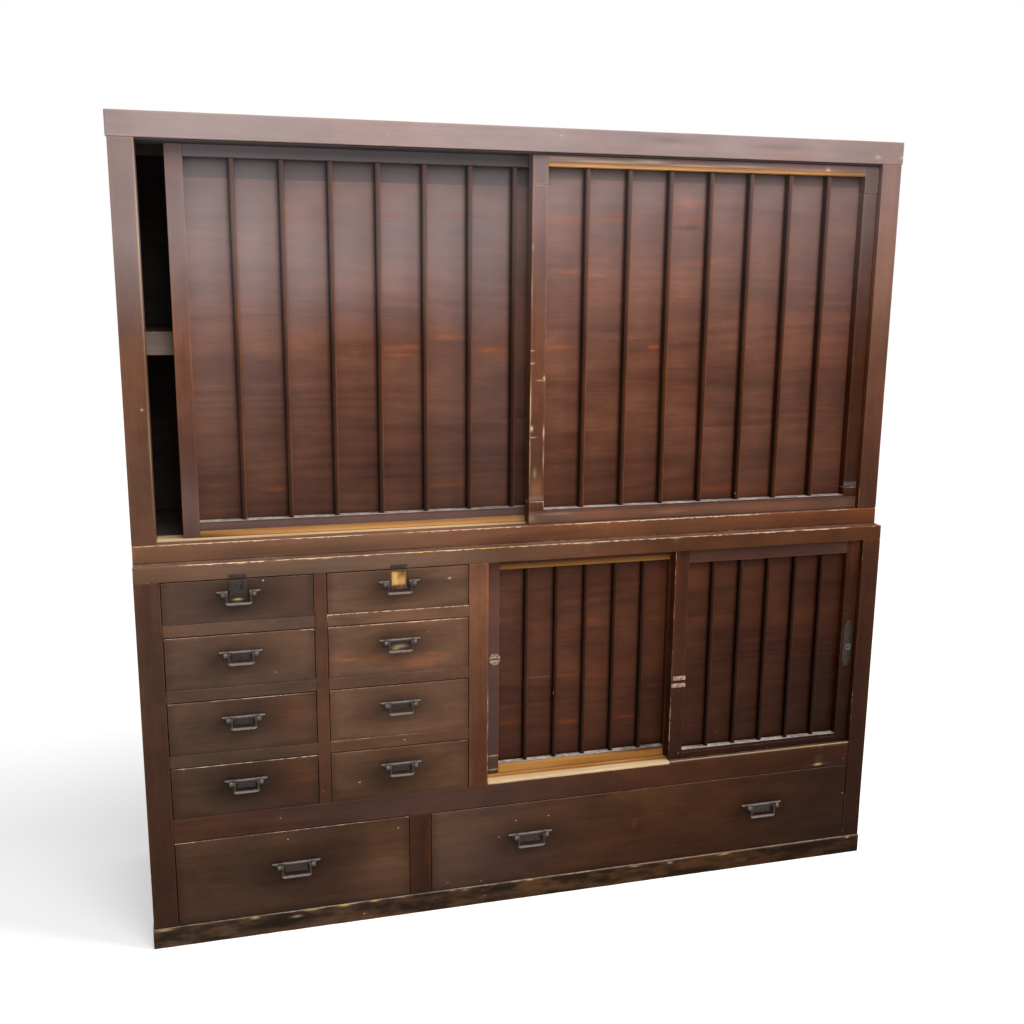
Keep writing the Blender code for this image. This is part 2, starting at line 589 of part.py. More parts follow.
def build_handle(name: str, drawer, x: float, z: float, width: float, drop: float, overhang: float):
    """A winged plate with two eyes on a drawer front, and the bail that swings in them."""
    face = FRONT + DRAWER_RECESS
    pivot = Vector((x, face - EYE_STANDOFF, z))
    back = face - SEAT_GAP
    eye_start = width / 2 + BAIL_SIDE_GAP
    eye_end = eye_start + EYE_LENGTH
    tip = eye_end + overhang
    top, low = z + WING_RISE, z - WING_FALL
    wing = [(x - tip, top), (x + tip, top), (x + tip, top - WING_TIP), (x + eye_end, low),
            (x - eye_end, low), (x - tip, top - WING_TIP)]
    plate = frontal(f"{name}_plate", wing, (back - WING_THICKNESS, back))
    drop_half = width / 2 - BAIL_BAR - BACKPLATE_MARGIN
    fuse(plate, block("backplate", (x - drop_half, x + drop_half), (back - BACKPLATE_THICKNESS, back),
                      (z - drop + BAIL_BAR + BACKPLATE_MARGIN, z)))
    holes = []
    for sign in (-1, 1):
        limits = sorted((x + sign * eye_start, x + sign * eye_end))
        neck_x = (limits[0] + SEAT_GAP, limits[1] - SEAT_GAP)
        fuse(plate,
             block("neck", neck_x, (pivot.y, back - BACKPLATE_THICKNESS),
                   (z - NECK_HEIGHT / 2, z + NECK_HEIGHT / 2)),
             rod("eye", limits, pivot.y, z, EYE_RADIUS))
        bored = (limits[0] - JOINT_BITE, limits[1] + JOINT_BITE)
        holes.append(rod("hole", bored, pivot.y, z, EYE_HOLE_RADIUS))
    finish(carve(plate, *holes), IRON, Vector((x, back, z)), drawer)

    outer, inner = width / 2, width / 2 - BAIL_BAR
    heel, foot = z + BAIL_HEEL, z - drop
    loop = [(x - outer, heel), (x - outer, foot), (x + outer, foot), (x + outer, heel), (x + inner, heel),
            (x + inner, foot + BAIL_BAR), (x - inner, foot + BAIL_BAR), (x - inner, heel)]
    bail = frontal(f"{name}_bail", loop, (pivot.y - BAIL_BAR / 2, pivot.y + BAIL_BAR / 2))
    for sign in (-1, 1):
        ends = sorted((x + sign * (outer - BAIL_BAR / 2), x + sign * (eye_end + PIN_PROUD)))
        fuse(bail, rod("pin", ends, pivot.y, z, PIN_RADIUS))
    finish(bail, IRON, pivot, drawer)


def build_drawer(name: str, x: tuple, z: tuple, root):
    """A drawer front with its open tray, as one glued-up box."""
    face = FRONT + DRAWER_RECESS
    inside = face + DRAWER_FRONT
    front_x = (x[0] + DRAWER_SIDE_GAP, x[1] - DRAWER_SIDE_GAP)
    low, high = z[0] + SEAT_GAP, z[1] - DRAWER_TOP_GAP
    tray_x = (front_x[0] + TRAY_INSET, front_x[1] - TRAY_INSET)
    tray_y = (inside - JOINT_BITE, INNER_BACK - DRAWER_BACK_GAP)
    rim = high - TRAY_DROP
    drawer = block(name, front_x, (face, inside), (low, high))
    fuse(drawer, block("tray", tray_x, tray_y, (low, rim)))
    carve(drawer, block("hollow", (tray_x[0] + DRAWER_WALL, tray_x[1] - DRAWER_WALL),
                        (inside + SEAT_GAP, tray_y[1] - DRAWER_WALL),
                        (low + DRAWER_BOTTOM, rim + JOINT_BITE)))
    return finish(drawer, DRAWER_WOOD, Vector((sum(front_x) / 2, face, low)), root)


def build_drawers(root):
    """The small drawers in two columns, the two wide ones, and their handles."""
    columns = {"left": (LEFT_POST_EDGE, CENTRE_LEFT), "right": (CENTRE_RIGHT, PARTITION_LEFT)}
    small = dict(width=SMALL_BAIL_WIDTH, drop=SMALL_BAIL_DROP, overhang=SMALL_WING_OVERHANG)
    large = dict(width=LARGE_BAIL_WIDTH, drop=LARGE_BAIL_DROP, overhang=LARGE_WING_OVERHANG)
    rows = list(zip(row_bottoms(), ROW_HEIGHTS))[::-1]
    for side, x in columns.items():
        for number, (low, height) in enumerate(rows, start=1):
            name = f"{side}_drawer_{number}"
            drawer = build_drawer(name, x, (low, low + height), root)
            build_handle(name, drawer, sum(x) / 2, low + height / 2 + SMALL_HANDLE_RISE, **small)

    z = (WIDE_BOTTOM, WIDE_TOP)
    pivot_z = sum(z) / 2 + LARGE_HANDLE_RISE
    x = (LEFT_POST_EDGE, WIDE_STILE_LEFT)
    drawer = build_drawer("wide_left_drawer", x, z, root)
    build_handle("wide_left_drawer", drawer, sum(x) / 2, pivot_z, **large)
    x = (WIDE_STILE_RIGHT, RIGHT_POST_EDGE)
    drawer = build_drawer("wide_right_drawer", x, z, root)
    build_handle("wide_right_drawer_near", drawer, x[0] + WIDE_HANDLE_INSET, pivot_z, **large)
    build_handle("wide_right_drawer_far", drawer, x[1] - WIDE_HANDLE_INSET, pivot_z, **large)


def main():
    """Build the whole chest under one empty."""
    for old in list(bpy.data.objects):
        bpy.data.objects.remove(old, do_unlink=True)
    root = bpy.data.objects.new("chest", None)
    bpy.context.scene.collection.objects.link(root)
    build_upper_case(root)
    build_lower_case(root)
    build_doors(root)
    build_drawers(root)


main()
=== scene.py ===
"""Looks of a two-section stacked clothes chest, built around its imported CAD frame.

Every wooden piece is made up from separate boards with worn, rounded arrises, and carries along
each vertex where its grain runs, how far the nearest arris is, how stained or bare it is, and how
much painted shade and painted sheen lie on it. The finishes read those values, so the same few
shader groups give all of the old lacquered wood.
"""

import logging
import math
from dataclasses import dataclass, field
from enum import Enum

import bmesh
import bpy
import numpy as np
from mathutils import Matrix, Vector


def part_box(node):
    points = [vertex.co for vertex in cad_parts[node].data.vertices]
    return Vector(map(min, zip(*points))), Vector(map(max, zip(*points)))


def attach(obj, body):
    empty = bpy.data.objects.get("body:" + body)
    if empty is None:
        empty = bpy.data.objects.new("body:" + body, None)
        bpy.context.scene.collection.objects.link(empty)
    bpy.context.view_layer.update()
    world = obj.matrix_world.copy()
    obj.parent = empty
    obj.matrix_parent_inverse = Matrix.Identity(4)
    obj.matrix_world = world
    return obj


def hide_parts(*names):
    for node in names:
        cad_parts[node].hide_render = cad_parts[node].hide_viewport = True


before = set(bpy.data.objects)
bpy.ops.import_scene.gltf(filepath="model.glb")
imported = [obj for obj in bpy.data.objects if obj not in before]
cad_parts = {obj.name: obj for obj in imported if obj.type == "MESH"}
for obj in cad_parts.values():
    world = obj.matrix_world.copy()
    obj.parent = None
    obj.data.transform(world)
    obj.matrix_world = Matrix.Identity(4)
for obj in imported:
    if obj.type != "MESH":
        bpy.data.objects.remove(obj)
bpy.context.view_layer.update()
LOG = logging.getLogger("chest")

Colour = tuple[float, float, float]
Span = tuple[float, float]
Point = tuple[float, float, float]


class Axis(Enum):
    """Direction that a board's grain runs in."""

    X = 0
    Y = 1
    Z = 2


class Wood(Enum):
    """The wood finishes of the chest."""

    FRAME = "frame_wood"
    RAIL = "top_rail_wood"
    PANEL = "panel_wood"
    LATTICE = "lattice_wood"
    DRAWER = "drawer_wood"
    PLINTH = "plinth_wood"
    SILL = "sill_wood"
    HONEY = "honey_wood"
    INNER = "inner_wood"
    DIM = "dim_inner_wood"
    SHELF = "grey_shelf_wood"
    TRACK = "track_wood"


class Metal(Enum):
    """The metal finishes of the chest."""

    IRON = "iron"
    BRASS = "old_brass"
    COPPER = "copper_strip"


class Mark(Enum):
    """What a spot on a board shows."""

    # real stains, and painted shade under rails, beside slats and around handles
    STAIN = "stain"
    BARE = "bare"
    WARM = "warm"
    # mostly a painted grey sheen, a reflection painted into the colour; a few narrow spots are pale scuffs
    HAZE = "haze"


class Middle(Enum):
    """What stands between the wings of a drop handle."""

    BACKPLATE = "backplate"
    LOST = "lost"
    LOCK = "lock"
    EMPTY = "empty"


@dataclass(frozen=True)
class WoodFinish:
    """Colours and habits of one wood finish.

    Attributes:
        dark: colour of the late wood and the pores' surroundings.
        body: main colour.
        light: colour of the faded patches.
        glow: warm colour of the streaks where the lacquer is thin.
        bare: colour of the wood where an arris is worn through.
        chip: colour of the deeper chips in a worn arris.
        rings: growth rings across a board.
        figure: contrast of the growth rings.
        painted_sheen: strength of the painted grey sheen, a reflection painted into the colour towards the top of the
            chest.
        mottle: strength of the small dark and bright patches.
        wear: how far the arrises are worn through.
        width: reach of the wear from an arris, in metres.
        dust_and_sheen: pale dust and painted light on faces that look up.
        scuffs: amount of scratches and dents.
        warmth: amount of warm streaks.
        roughness: roughness of the lacquer.
        specular: specular level of the lacquer.
        lacquered: whether the lacquer's smudges and the painted shade towards its foot and its right lie over it.
    """

    dark: Colour
    body: Colour
    light: Colour
    glow: Colour
    bare: Colour
    chip: Colour = (0.600, 0.380, 0.130)
    rings: float = 9.0
    figure: float = 0.55
    painted_sheen: float = 1.0
    mottle: float = 0.0
    wear: float = 0.6
    width: float = 0.0020
    dust_and_sheen: float = 0.35
    scuffs: float = 0.5
    warmth: float = 0.4
    roughness: float = 0.42
    specular: float = 0.06
    lacquered: bool = True


@dataclass(frozen=True)
class MetalFinish:
    """Colours of one old metal."""

    body: Colour
    rust: Colour
    edge: Colour
    roughness: float = 0.5
    metallic: float = 0.8


WOODS: dict[Wood, WoodFinish] = {
    Wood.FRAME: WoodFinish(
        dark=(0.056, 0.020, 0.009), body=(0.112, 0.044, 0.021), light=(0.150, 0.071, 0.038),
        glow=(0.220, 0.074, 0.022), bare=(0.600, 0.440, 0.310), dust_and_sheen=0.10),
    Wood.RAIL: WoodFinish(
        dark=(0.092, 0.044, 0.028), body=(0.175, 0.086, 0.056), light=(0.235, 0.134, 0.100),
        glow=(0.420, 0.150, 0.052), bare=(0.720, 0.580, 0.500), painted_sheen=1.25, mottle=0.10, scuffs=0.6),
    Wood.PANEL: WoodFinish(
        dark=(0.062, 0.021, 0.011), body=(0.134, 0.048, 0.025), light=(0.168, 0.074, 0.042),
        glow=(0.360, 0.095, 0.026), bare=(0.420, 0.210, 0.090), rings=13.0, figure=0.62, wear=0.25,
        scuffs=0.35, warmth=0.60, roughness=0.36, dust_and_sheen=0.10),
    Wood.LATTICE: WoodFinish(
        dark=(0.050, 0.017, 0.009), body=(0.100, 0.035, 0.017), light=(0.140, 0.062, 0.034),
        glow=(0.280, 0.090, 0.028), bare=(0.560, 0.390, 0.240), chip=(0.560, 0.390, 0.240), painted_sheen=0.85,
        dust_and_sheen=0.80),
    Wood.DRAWER: WoodFinish(
        dark=(0.062, 0.028, 0.013), body=(0.122, 0.058, 0.029), light=(0.165, 0.090, 0.050),
        glow=(0.300, 0.100, 0.030), bare=(0.580, 0.430, 0.310), rings=11.0, figure=0.46, painted_sheen=2.0, mottle=0.10,
        wear=0.8, width=0.0015, dust_and_sheen=0.20, scuffs=0.7),
    Wood.PLINTH: WoodFinish(
        dark=(0.054, 0.034, 0.019), body=(0.150, 0.090, 0.052), light=(0.230, 0.140, 0.085),
        glow=(0.220, 0.090, 0.030), bare=(0.520, 0.360, 0.220), chip=(0.620, 0.400, 0.110), figure=0.7,
        mottle=0.85, wear=0.8, width=0.0040, scuffs=0.9, warmth=0.9, roughness=0.6),
    Wood.SILL: WoodFinish(
        dark=(0.380, 0.250, 0.120), body=(0.600, 0.440, 0.240), light=(0.700, 0.540, 0.340),
        glow=(0.560, 0.330, 0.110), bare=(0.760, 0.610, 0.440), painted_sheen=0.0, wear=0.7, dust_and_sheen=0.15,
        roughness=0.6, lacquered=False),
    Wood.HONEY: WoodFinish(
        dark=(0.250, 0.100, 0.022), body=(0.470, 0.212, 0.048), light=(0.540, 0.300, 0.100),
        glow=(0.500, 0.190, 0.036), bare=(0.700, 0.500, 0.240), painted_sheen=0.0, wear=0.9, dust_and_sheen=0.05,
        roughness=0.55, lacquered=False),
    Wood.INNER: WoodFinish(
        dark=(0.110, 0.064, 0.036), body=(0.200, 0.128, 0.078), light=(0.280, 0.190, 0.120),
        glow=(0.230, 0.120, 0.055), bare=(0.400, 0.290, 0.180), painted_sheen=0.0, wear=0.5, dust_and_sheen=0.10,
        scuffs=0.7, roughness=0.75, specular=0.05, lacquered=False),
    # Darker copy of the inner wood: painted shade for the inside faces of the upper chest.
    Wood.DIM: WoodFinish(
        dark=(0.034, 0.027, 0.022), body=(0.062, 0.050, 0.042), light=(0.090, 0.074, 0.062),
        glow=(0.045, 0.026, 0.015), bare=(0.160, 0.110, 0.070), painted_sheen=0.0, wear=0.4, dust_and_sheen=0.0,
        scuffs=0.6, roughness=0.75, specular=0.05, lacquered=False),
    Wood.SHELF: WoodFinish(
        dark=(0.120, 0.086, 0.070), body=(0.205, 0.150, 0.124), light=(0.270, 0.205, 0.175),
        glow=(0.220, 0.140, 0.100), bare=(0.420, 0.340, 0.290), painted_sheen=0.0, wear=0.5, dust_and_sheen=0.1,
        roughness=0.7, specular=0.05, lacquered=False),
    # Near-black track and lip over the upper doors: painted shade under the top rail, with some painted sheen.
    Wood.TRACK: WoodFinish(
        dark=(0.008, 0.005, 0.004), body=(0.016, 0.009, 0.007), light=(0.028, 0.018, 0.015),
        glow=(0.040, 0.016, 0.010), bare=(0.300, 0.190, 0.110), painted_sheen=0.30, wear=0.3, dust_and_sheen=0.1,
        roughness=0.6, lacquered=False),
}

METALS: dict[Metal, MetalFinish] = {
    Metal.IRON: MetalFinish(
        body=(0.038, 0.031, 0.028), rust=(0.056, 0.034, 0.023), edge=(0.360, 0.310, 0.290)),
    Metal.BRASS: MetalFinish(
        body=(0.400, 0.270, 0.190), rust=(0.170, 0.100, 0.065), edge=(0.680, 0.540, 0.440),
        roughness=0.55, metallic=0.30),
    Metal.COPPER: MetalFinish(
        body=(0.150, 0.070, 0.038), rust=(0.070, 0.036, 0.022), edge=(0.420, 0.260, 0.150),
        roughness=0.5, metallic=0.6),
}

# Pale grey of the painted sheen, a reflection painted into the lacquer's colour; also used for pale scuffs.
HAZE: Colour = (0.470, 0.424, 0.445)
# Pale colour of settled dust and of light painted onto faces that look up.
DUST_AND_SHEEN: Colour = (0.640, 0.560, 0.520)


class Graph:
    """Adds nodes to one shader tree and links them."""

    def __init__(self, tree: bpy.types.NodeTree) -> None:
        """Keep the tree that nodes go into."""
        self.tree = tree
        self.column = 0

    def add(self, kind: str, **settings: object) -> bpy.types.Node:
        """Add a node.

        Args:
            kind: node type without its ShaderNode prefix, or a whole identifier with "Node" in it.
            settings: attributes to set on the node.

        Returns:
            The new node.
        """
        node = self.tree.nodes.new(kind if "Node" in kind else f"ShaderNode{kind}")
        node.location = (self.column * 180, 0)
        self.column += 1
        for name, value in settings.items():
            setattr(node, name, value)
        return node

    def plug(self, socket: bpy.types.NodeSocket, value: object) -> None:
        """Link a socket to another socket, or set its own value.

        Args:
            socket: input socket to fill.
            value: an output socket, a number, or a tuple.
        """
        if isinstance(value, bpy.types.NodeSocket):
            self.tree.links.new(value, socket)
        elif isinstance(value, tuple) and socket.type == "RGBA":
            socket.default_value = (*value, 1.0)
        else:
            socket.default_value = value

    def math(self, operation: str, *values: object, clamp: bool = False) -> bpy.types.NodeSocket:
        """Add a Math node.

        Args:
            operation: the node's operation.
            values: its inputs in order.
            clamp: whether the result is held between 0 and 1.

        Returns:
            The result socket.
        """
        node = self.add("Math", operation=operation, use_clamp=clamp)
        for socket, value in zip(node.inputs, values):
            self.plug(socket, value)
        return node.outputs[0]

    def stretch(self, vector: object, factors: object) -> bpy.types.NodeSocket:
        """Multiply a vector or a colour by three factors.

        Args:
            vector: vector or colour socket.
            factors: factor on each axis, or a socket of factors.

        Returns:
            The scaled vector.
        """
        node = self.add("VectorMath", operation="MULTIPLY")
        self.plug(node.inputs[0], vector)
        self.plug(node.inputs[1], factors)
        return node.outputs[0]

    def scaled(self, colour: object, factor: object) -> bpy.types.NodeSocket:
        """Multiply a colour by a number.

        Args:
            colour: colour socket.
            factor: number socket.

        Returns:
            The scaled colour.
        """
        node = self.add("VectorMath", operation="SCALE")
        self.plug(node.inputs[0], colour)
        self.plug(node.inputs["Scale"], factor)
        return node.outputs[0]

    def noise(self, vector: object, scale: float, detail: float = 3.0,
              rough: float = 0.55) -> bpy.types.NodeSocket:
        """Add a Noise Texture.

        Args:
            vector: where it is looked up.
            scale: its scale.
            detail: number of octaves.
            rough: roughness of the octaves.

        Returns:
            Its value between 0 and 1.
        """
        node = self.add("TexNoise")
        self.plug(node.inputs["Vector"], vector)
        node.inputs["Scale"].default_value = scale
        node.inputs["Detail"].default_value = detail
        node.inputs["Roughness"].default_value = rough
        return node.outputs["Fac"]

    def span(self, value: object, low: float, high: float, to_low: float = 0.0,
             to_high: float = 1.0, smooth: bool = True) -> bpy.types.NodeSocket:
        """Map a range of a value to another range, held at its ends.

        Args:
            value: value socket.
            low: start of the range.
            high: end of the range.
            to_low: result at the start.
            to_high: result at the end.
            smooth: whether the ends are eased.

        Returns:
            The mapped value.
        """
        node = self.add("MapRange", interpolation_type="SMOOTHSTEP" if smooth else "LINEAR")
        for name, number in (("Value", value), ("From Min", low), ("From Max", high),
                             ("To Min", to_low), ("To Max", to_high)):
            self.plug(node.inputs[name], number)
        return node.outputs[0]

    def mix(self, factor: object, first: object, second: object) -> bpy.types.NodeSocket:
        """Mix two colours.

        Args:
            factor: share of the second colour.
            first: first colour.
            second: second colour.

        Returns:
            The mixed colour.
        """
        node = self.add("Mix", data_type="RGBA")
        self.plug(node.inputs[0], factor)
        self.plug(node.inputs[6], first)
        self.plug(node.inputs[7], second)
        return node.outputs[2]

    def reads(self, name: str, output: str = "Fac") -> bpy.types.NodeSocket:
        """Read a vertex value of the mesh by name."""
        return self.add("Attribute", attribute_name=name).outputs[output]

    def parts(self, vector: object) -> tuple[bpy.types.NodeSocket, ...]:
        """Split a vector into its three numbers."""
        node = self.add("SeparateXYZ")
        self.plug(node.inputs[0], vector)
        return tuple(node.outputs)

    def group(self, tree: bpy.types.NodeTree, **values: object) -> dict[str, bpy.types.NodeSocket]:
        """Place a shader group.

        Args:
            tree: the group.
            values: values or sockets for its named inputs.

        Returns:
            Its outputs by name.
        """
        node = self.add("Group", node_tree=tree)
        for name, value in values.items():
            self.plug(node.inputs[name], value)
        return {socket.name: socket for socket in node.outputs}


class GroupShelf:
    """The shader groups that the finishes share, each built when it is first asked for."""

    def __init__(self) -> None:
        """Start with no group built."""
        self.built: dict[str, bpy.types.NodeTree] = {}

    def get(self, name: str) -> bpy.types.NodeTree:
        """Give a group by name, building it once.

        Args:
            name: one of grain, wear, patina, dust_and_sheen or scuffs.

        Returns:
            The group's node tree.
        """
        if name not in self.built:
            self.built[name] = getattr(self, f"make_{name}")()
        return self.built[name]

    @staticmethod
    def begin(name: str, inputs: dict[str, float], outputs: tuple[str, ...], colours: tuple[str, ...] = (),
              ) -> tuple[Graph, dict[str, bpy.types.NodeSocket], bpy.types.Node]:
        """Make an empty group with number inputs, and number and colour outputs.

        Args:
            name: group name.
            inputs: input names with their defaults.
            outputs: names of the number outputs.
            colours: names of the colour outputs.

        Returns:
            Its graph, its inputs by name, and its output node.
        """
        tree = bpy.data.node_groups.new(name, "ShaderNodeTree")
        for label, value in inputs.items():
            socket = tree.interface.new_socket(label, in_out="INPUT", socket_type="NodeSocketFloat")
            socket.default_value = value
        for label in outputs:
            tree.interface.new_socket(label, in_out="OUTPUT", socket_type="NodeSocketFloat")
        for label in colours:
            tree.interface.new_socket(label, in_out="OUTPUT", socket_type="NodeSocketColor")
        graph = Graph(tree)
        source = graph.add("NodeGroupInput")
        target = graph.add("NodeGroupOutput")
        return graph, {socket.name: socket for socket in source.outputs if socket.name}, target

    def make_grain(self) -> bpy.types.NodeTree:
        """Growth rings, streaks, fibres, pores and blotches that follow a board's length."""
        graph, given, target = self.begin(
            "wood_grain", {"Rings": 9.0}, ("Figure", "Fibre", "Pore", "Blotch", "Streak"))
        grain = graph.reads("grain", "Vector")
        slow = graph.noise(graph.stretch(grain, (0.55, 6.0, 6.0)), 1.0, 2.0, 0.45)
        rings = graph.math("PINGPONG", graph.math("MULTIPLY", slow, given["Rings"]), 0.5)
        rings = graph.span(rings, 0.04, 0.46)
        streak = graph.noise(graph.stretch(grain, (1.1, 36.0, 36.0)), 1.0, 5.0, 0.62)
        fine = graph.span(streak, 0.30, 0.70)
        figure = graph.math("ADD", graph.math("MULTIPLY", rings, 0.42),
                            graph.math("MULTIPLY", fine, 0.58), clamp=True)
        fibre = graph.noise(graph.stretch(grain, (11.0, 780.0, 780.0)), 1.0, 2.0, 0.6)
        pore = graph.noise(graph.stretch(grain, (46.0, 1500.0, 1500.0)), 1.0, 1.0, 0.5)
        blotch = graph.noise(graph.stretch(grain, (2.2, 5.5, 5.5)), 1.0, 4.0, 0.6)
        flame = graph.noise(graph.stretch(grain, (2.6, 15.0, 15.0)), 1.0, 3.0, 0.55)
        graph.plug(target.inputs["Figure"], figure)
        graph.plug(target.inputs["Fibre"], fibre)
        graph.plug(target.inputs["Pore"], graph.span(pore, 0.62, 0.74))
        graph.plug(target.inputs["Blotch"], graph.span(blotch, 0.36, 0.68))
        graph.plug(target.inputs["Streak"], graph.span(flame, 0.63, 0.80))
        return graph.tree

    def make_wear(self) -> bpy.types.NodeTree:
        """Arrises worn through to the bare wood, in uneven runs and chips."""
        graph, given, target = self.begin(
            "edge_wear", {"Amount": 0.6, "Width": 0.0020}, ("Mask", "Rub"))
        grain = graph.reads("grain", "Vector")
        near = graph.math("DIVIDE", graph.reads("rim"), given["Width"])
        strength = graph.math("MULTIPLY", given["Amount"], graph.reads("wear"))
        runs = graph.noise(graph.stretch(grain, (6.0, 40.0, 40.0)), 1.0, 4.0, 0.6)
        runs = graph.math("ADD", runs, graph.math("MULTIPLY", strength, 0.18))
        runs = graph.span(runs, 0.55, 0.70)
        chips = graph.noise(graph.stretch(grain, (80.0, 320.0, 320.0)), 1.0, 3.0, 0.6)
        chips = graph.span(chips, 0.34, 0.68, 0.25, 1.25)
        reach = graph.math("MULTIPLY", graph.math("MULTIPLY", runs, chips),
                           graph.math("MINIMUM", strength, 1.3))
        graph.plug(target.inputs["Mask"], graph.span(graph.math("SUBTRACT", reach, near), 0.0, 0.30))
        rub = graph.math("SUBTRACT", 1.0, graph.math("DIVIDE", near, 2.6), clamp=True)
        graph.plug(target.inputs["Rub"], graph.math("MULTIPLY", rub, graph.reads("wear")))
        return graph.tree

    def make_patina(self) -> bpy.types.NodeTree:
        """Painted grey sheen towards the top of the chest, painted shade that darkens and warms it towards its foot and
        its right, and smudges.
        """
        graph, given, target = self.begin("height_patina", {"Strength": 1.0, "Mottle": 0.0}, ("PaintedSheen", "Smudge"), ("Tint",))
        place = graph.add("TexCoord").outputs["Object"]
        x, _, z = graph.parts(place)
        # Painted sheen: a reflection painted in, climbing with height, steeper and weaker on the right, with a faint
        # film low on the left.
        left = graph.span(z, 1.28, 1.56)
        right = graph.math("POWER", graph.span(z, 1.25, 1.65, smooth=False), 1.8)
        climb = graph.math("ADD", left, graph.math("MULTIPLY", graph.span(x, -0.10, -0.01),
                                                   graph.math("SUBTRACT", right, left)))
        fade = graph.span(x, -0.88, 0.88, 0.98, 0.74, smooth=False)
        amount = graph.math("MULTIPLY", graph.math("MULTIPLY", climb, fade), 0.315)
        sheen_film = graph.math("MULTIPLY", graph.span(x, -0.35, 0.40, 0.018, 0.0), graph.span(z, 0.15, 0.85, 0.15, 1.0))
        cloud = graph.span(graph.noise(place, 3.0, 3.0), 0.3, 0.7, 0.84, 1.12)
        amount = graph.math("MULTIPLY", graph.math("ADD", amount, sheen_film),
                            graph.math("MULTIPLY", cloud, given["Strength"]))
        graph.plug(target.inputs["PaintedSheen"], graph.math("MULTIPLY", amount, 1.0, clamp=True))
        smoke = graph.noise(graph.stretch(place, (0.7, 1.0, 1.0)), 8.0, 5.0, 0.62)
        smoke = graph.span(smoke, 0.34, 0.66, 0.80, 1.16)
        grime_and_shade = graph.noise(graph.stretch(place, (0.4, 1.0, 1.3)), 30.0, 5.0, 0.62)
        grime_and_shade = graph.math("SUBTRACT", graph.span(grime_and_shade, 0.38, 0.64, 0.30, 1.80), smoke)
        graph.plug(target.inputs["Smudge"], graph.math("ADD", smoke, graph.math("MULTIPLY", grime_and_shade, given["Mottle"])))
        # Painted shade: darker towards the floor and towards the right, darkest low on the right, brighter towards the
        # top, and warmer where it is darker.
        foot = graph.span(z, 0.0, 0.92, 0.34, 1.0, smooth=False)
        head = graph.span(z, 0.92, 1.40, 1.0, 1.50, smooth=False)
        across = graph.span(x, -0.88, 0.88, 0.90, 0.74, smooth=False)
        corner = graph.math("MULTIPLY", graph.span(x, 0.10, 0.88), graph.span(z, 0.60, 1.00, 1.0, 0.0))
        corner = graph.math("SUBTRACT", 1.0, graph.math("MULTIPLY", corner, 0.36))
        depth = graph.math("MULTIPLY", graph.math("MULTIPLY", foot, head), graph.math("MULTIPLY", across, corner))
        low = graph.span(z, 0.0, 1.45, 1.0, 0.40, smooth=False)
        warm = graph.math("MULTIPLY", graph.span(x, -0.70, 0.88, 0.0, 1.0, smooth=False), low)
        warm = graph.math("ADD", warm, graph.span(z, 0.08, 0.55, 0.28, 0.0), clamp=True)
        tint = graph.mix(warm, (1.0, 1.0, 1.0), (1.0, 0.66, 0.40))
        graph.plug(target.inputs["Tint"], graph.scaled(tint, depth))
        return graph.tree

    def make_dust_and_sheen(self) -> bpy.types.NodeTree:
        """Settled dust and painted light on faces that look up."""
        graph, given, target = self.begin("ledge_dust_and_sheen", {"Amount": 0.4}, ("Mask",))
        coords = graph.add("TexCoord")
        up = graph.span(graph.parts(coords.outputs["Normal"])[2], 0.55, 0.95)
        cloud = graph.span(graph.noise(coords.outputs["Object"], 38.0, 4.0, 0.65), 0.30, 0.72, 0.35, 1.0)
        mask = graph.math("MULTIPLY", graph.math("MULTIPLY", up, cloud), given["Amount"], clamp=True)
        graph.plug(target.inputs["Mask"], mask)
        return graph.tree

    def make_scuffs(self) -> bpy.types.NodeTree:
        """Fine scratches along and across the grain, and small dents."""
        graph, given, target = self.begin("scuffs", {"Amount": 0.5}, ("Mask", "Dent", "Speck"))
        grain = graph.reads("grain", "Vector")
        along = graph.span(graph.noise(graph.stretch(grain, (9.0, 430.0, 430.0)), 1.0, 1.0), 0.735, 0.775)
        cross = graph.span(graph.noise(graph.stretch(grain, (380.0, 14.0, 14.0)), 1.0, 1.0), 0.745, 0.785)
        patch = graph.span(graph.noise(grain, 7.0, 3.0), 0.50, 0.66)
        lines = graph.math("MULTIPLY", graph.math("MAXIMUM", along, cross), patch)
        dots = graph.add("TexVoronoi", feature="F1")
        graph.plug(dots.inputs["Vector"], graph.stretch(grain, (24.0, 46.0, 46.0)))
        dots.inputs["Scale"].default_value = 1.0
        spot = graph.span(dots.outputs["Distance"], 0.045, 0.085, 1.0, 0.0)
        chance = graph.parts(dots.outputs["Color"])[0]
        spot = graph.math("MULTIPLY", spot, graph.span(chance, 0.72, 0.74))
        dent = graph.math("MULTIPLY", graph.math("MAXIMUM", lines, spot), given["Amount"], clamp=True)
        speck = graph.math("MULTIPLY", graph.math("MULTIPLY", spot, graph.span(chance, 0.86, 0.90)), given["Amount"])
        graph.plug(target.inputs["Mask"], dent)
        graph.plug(target.inputs["Dent"], dent)
        graph.plug(target.inputs["Speck"], speck)
        return graph.tree


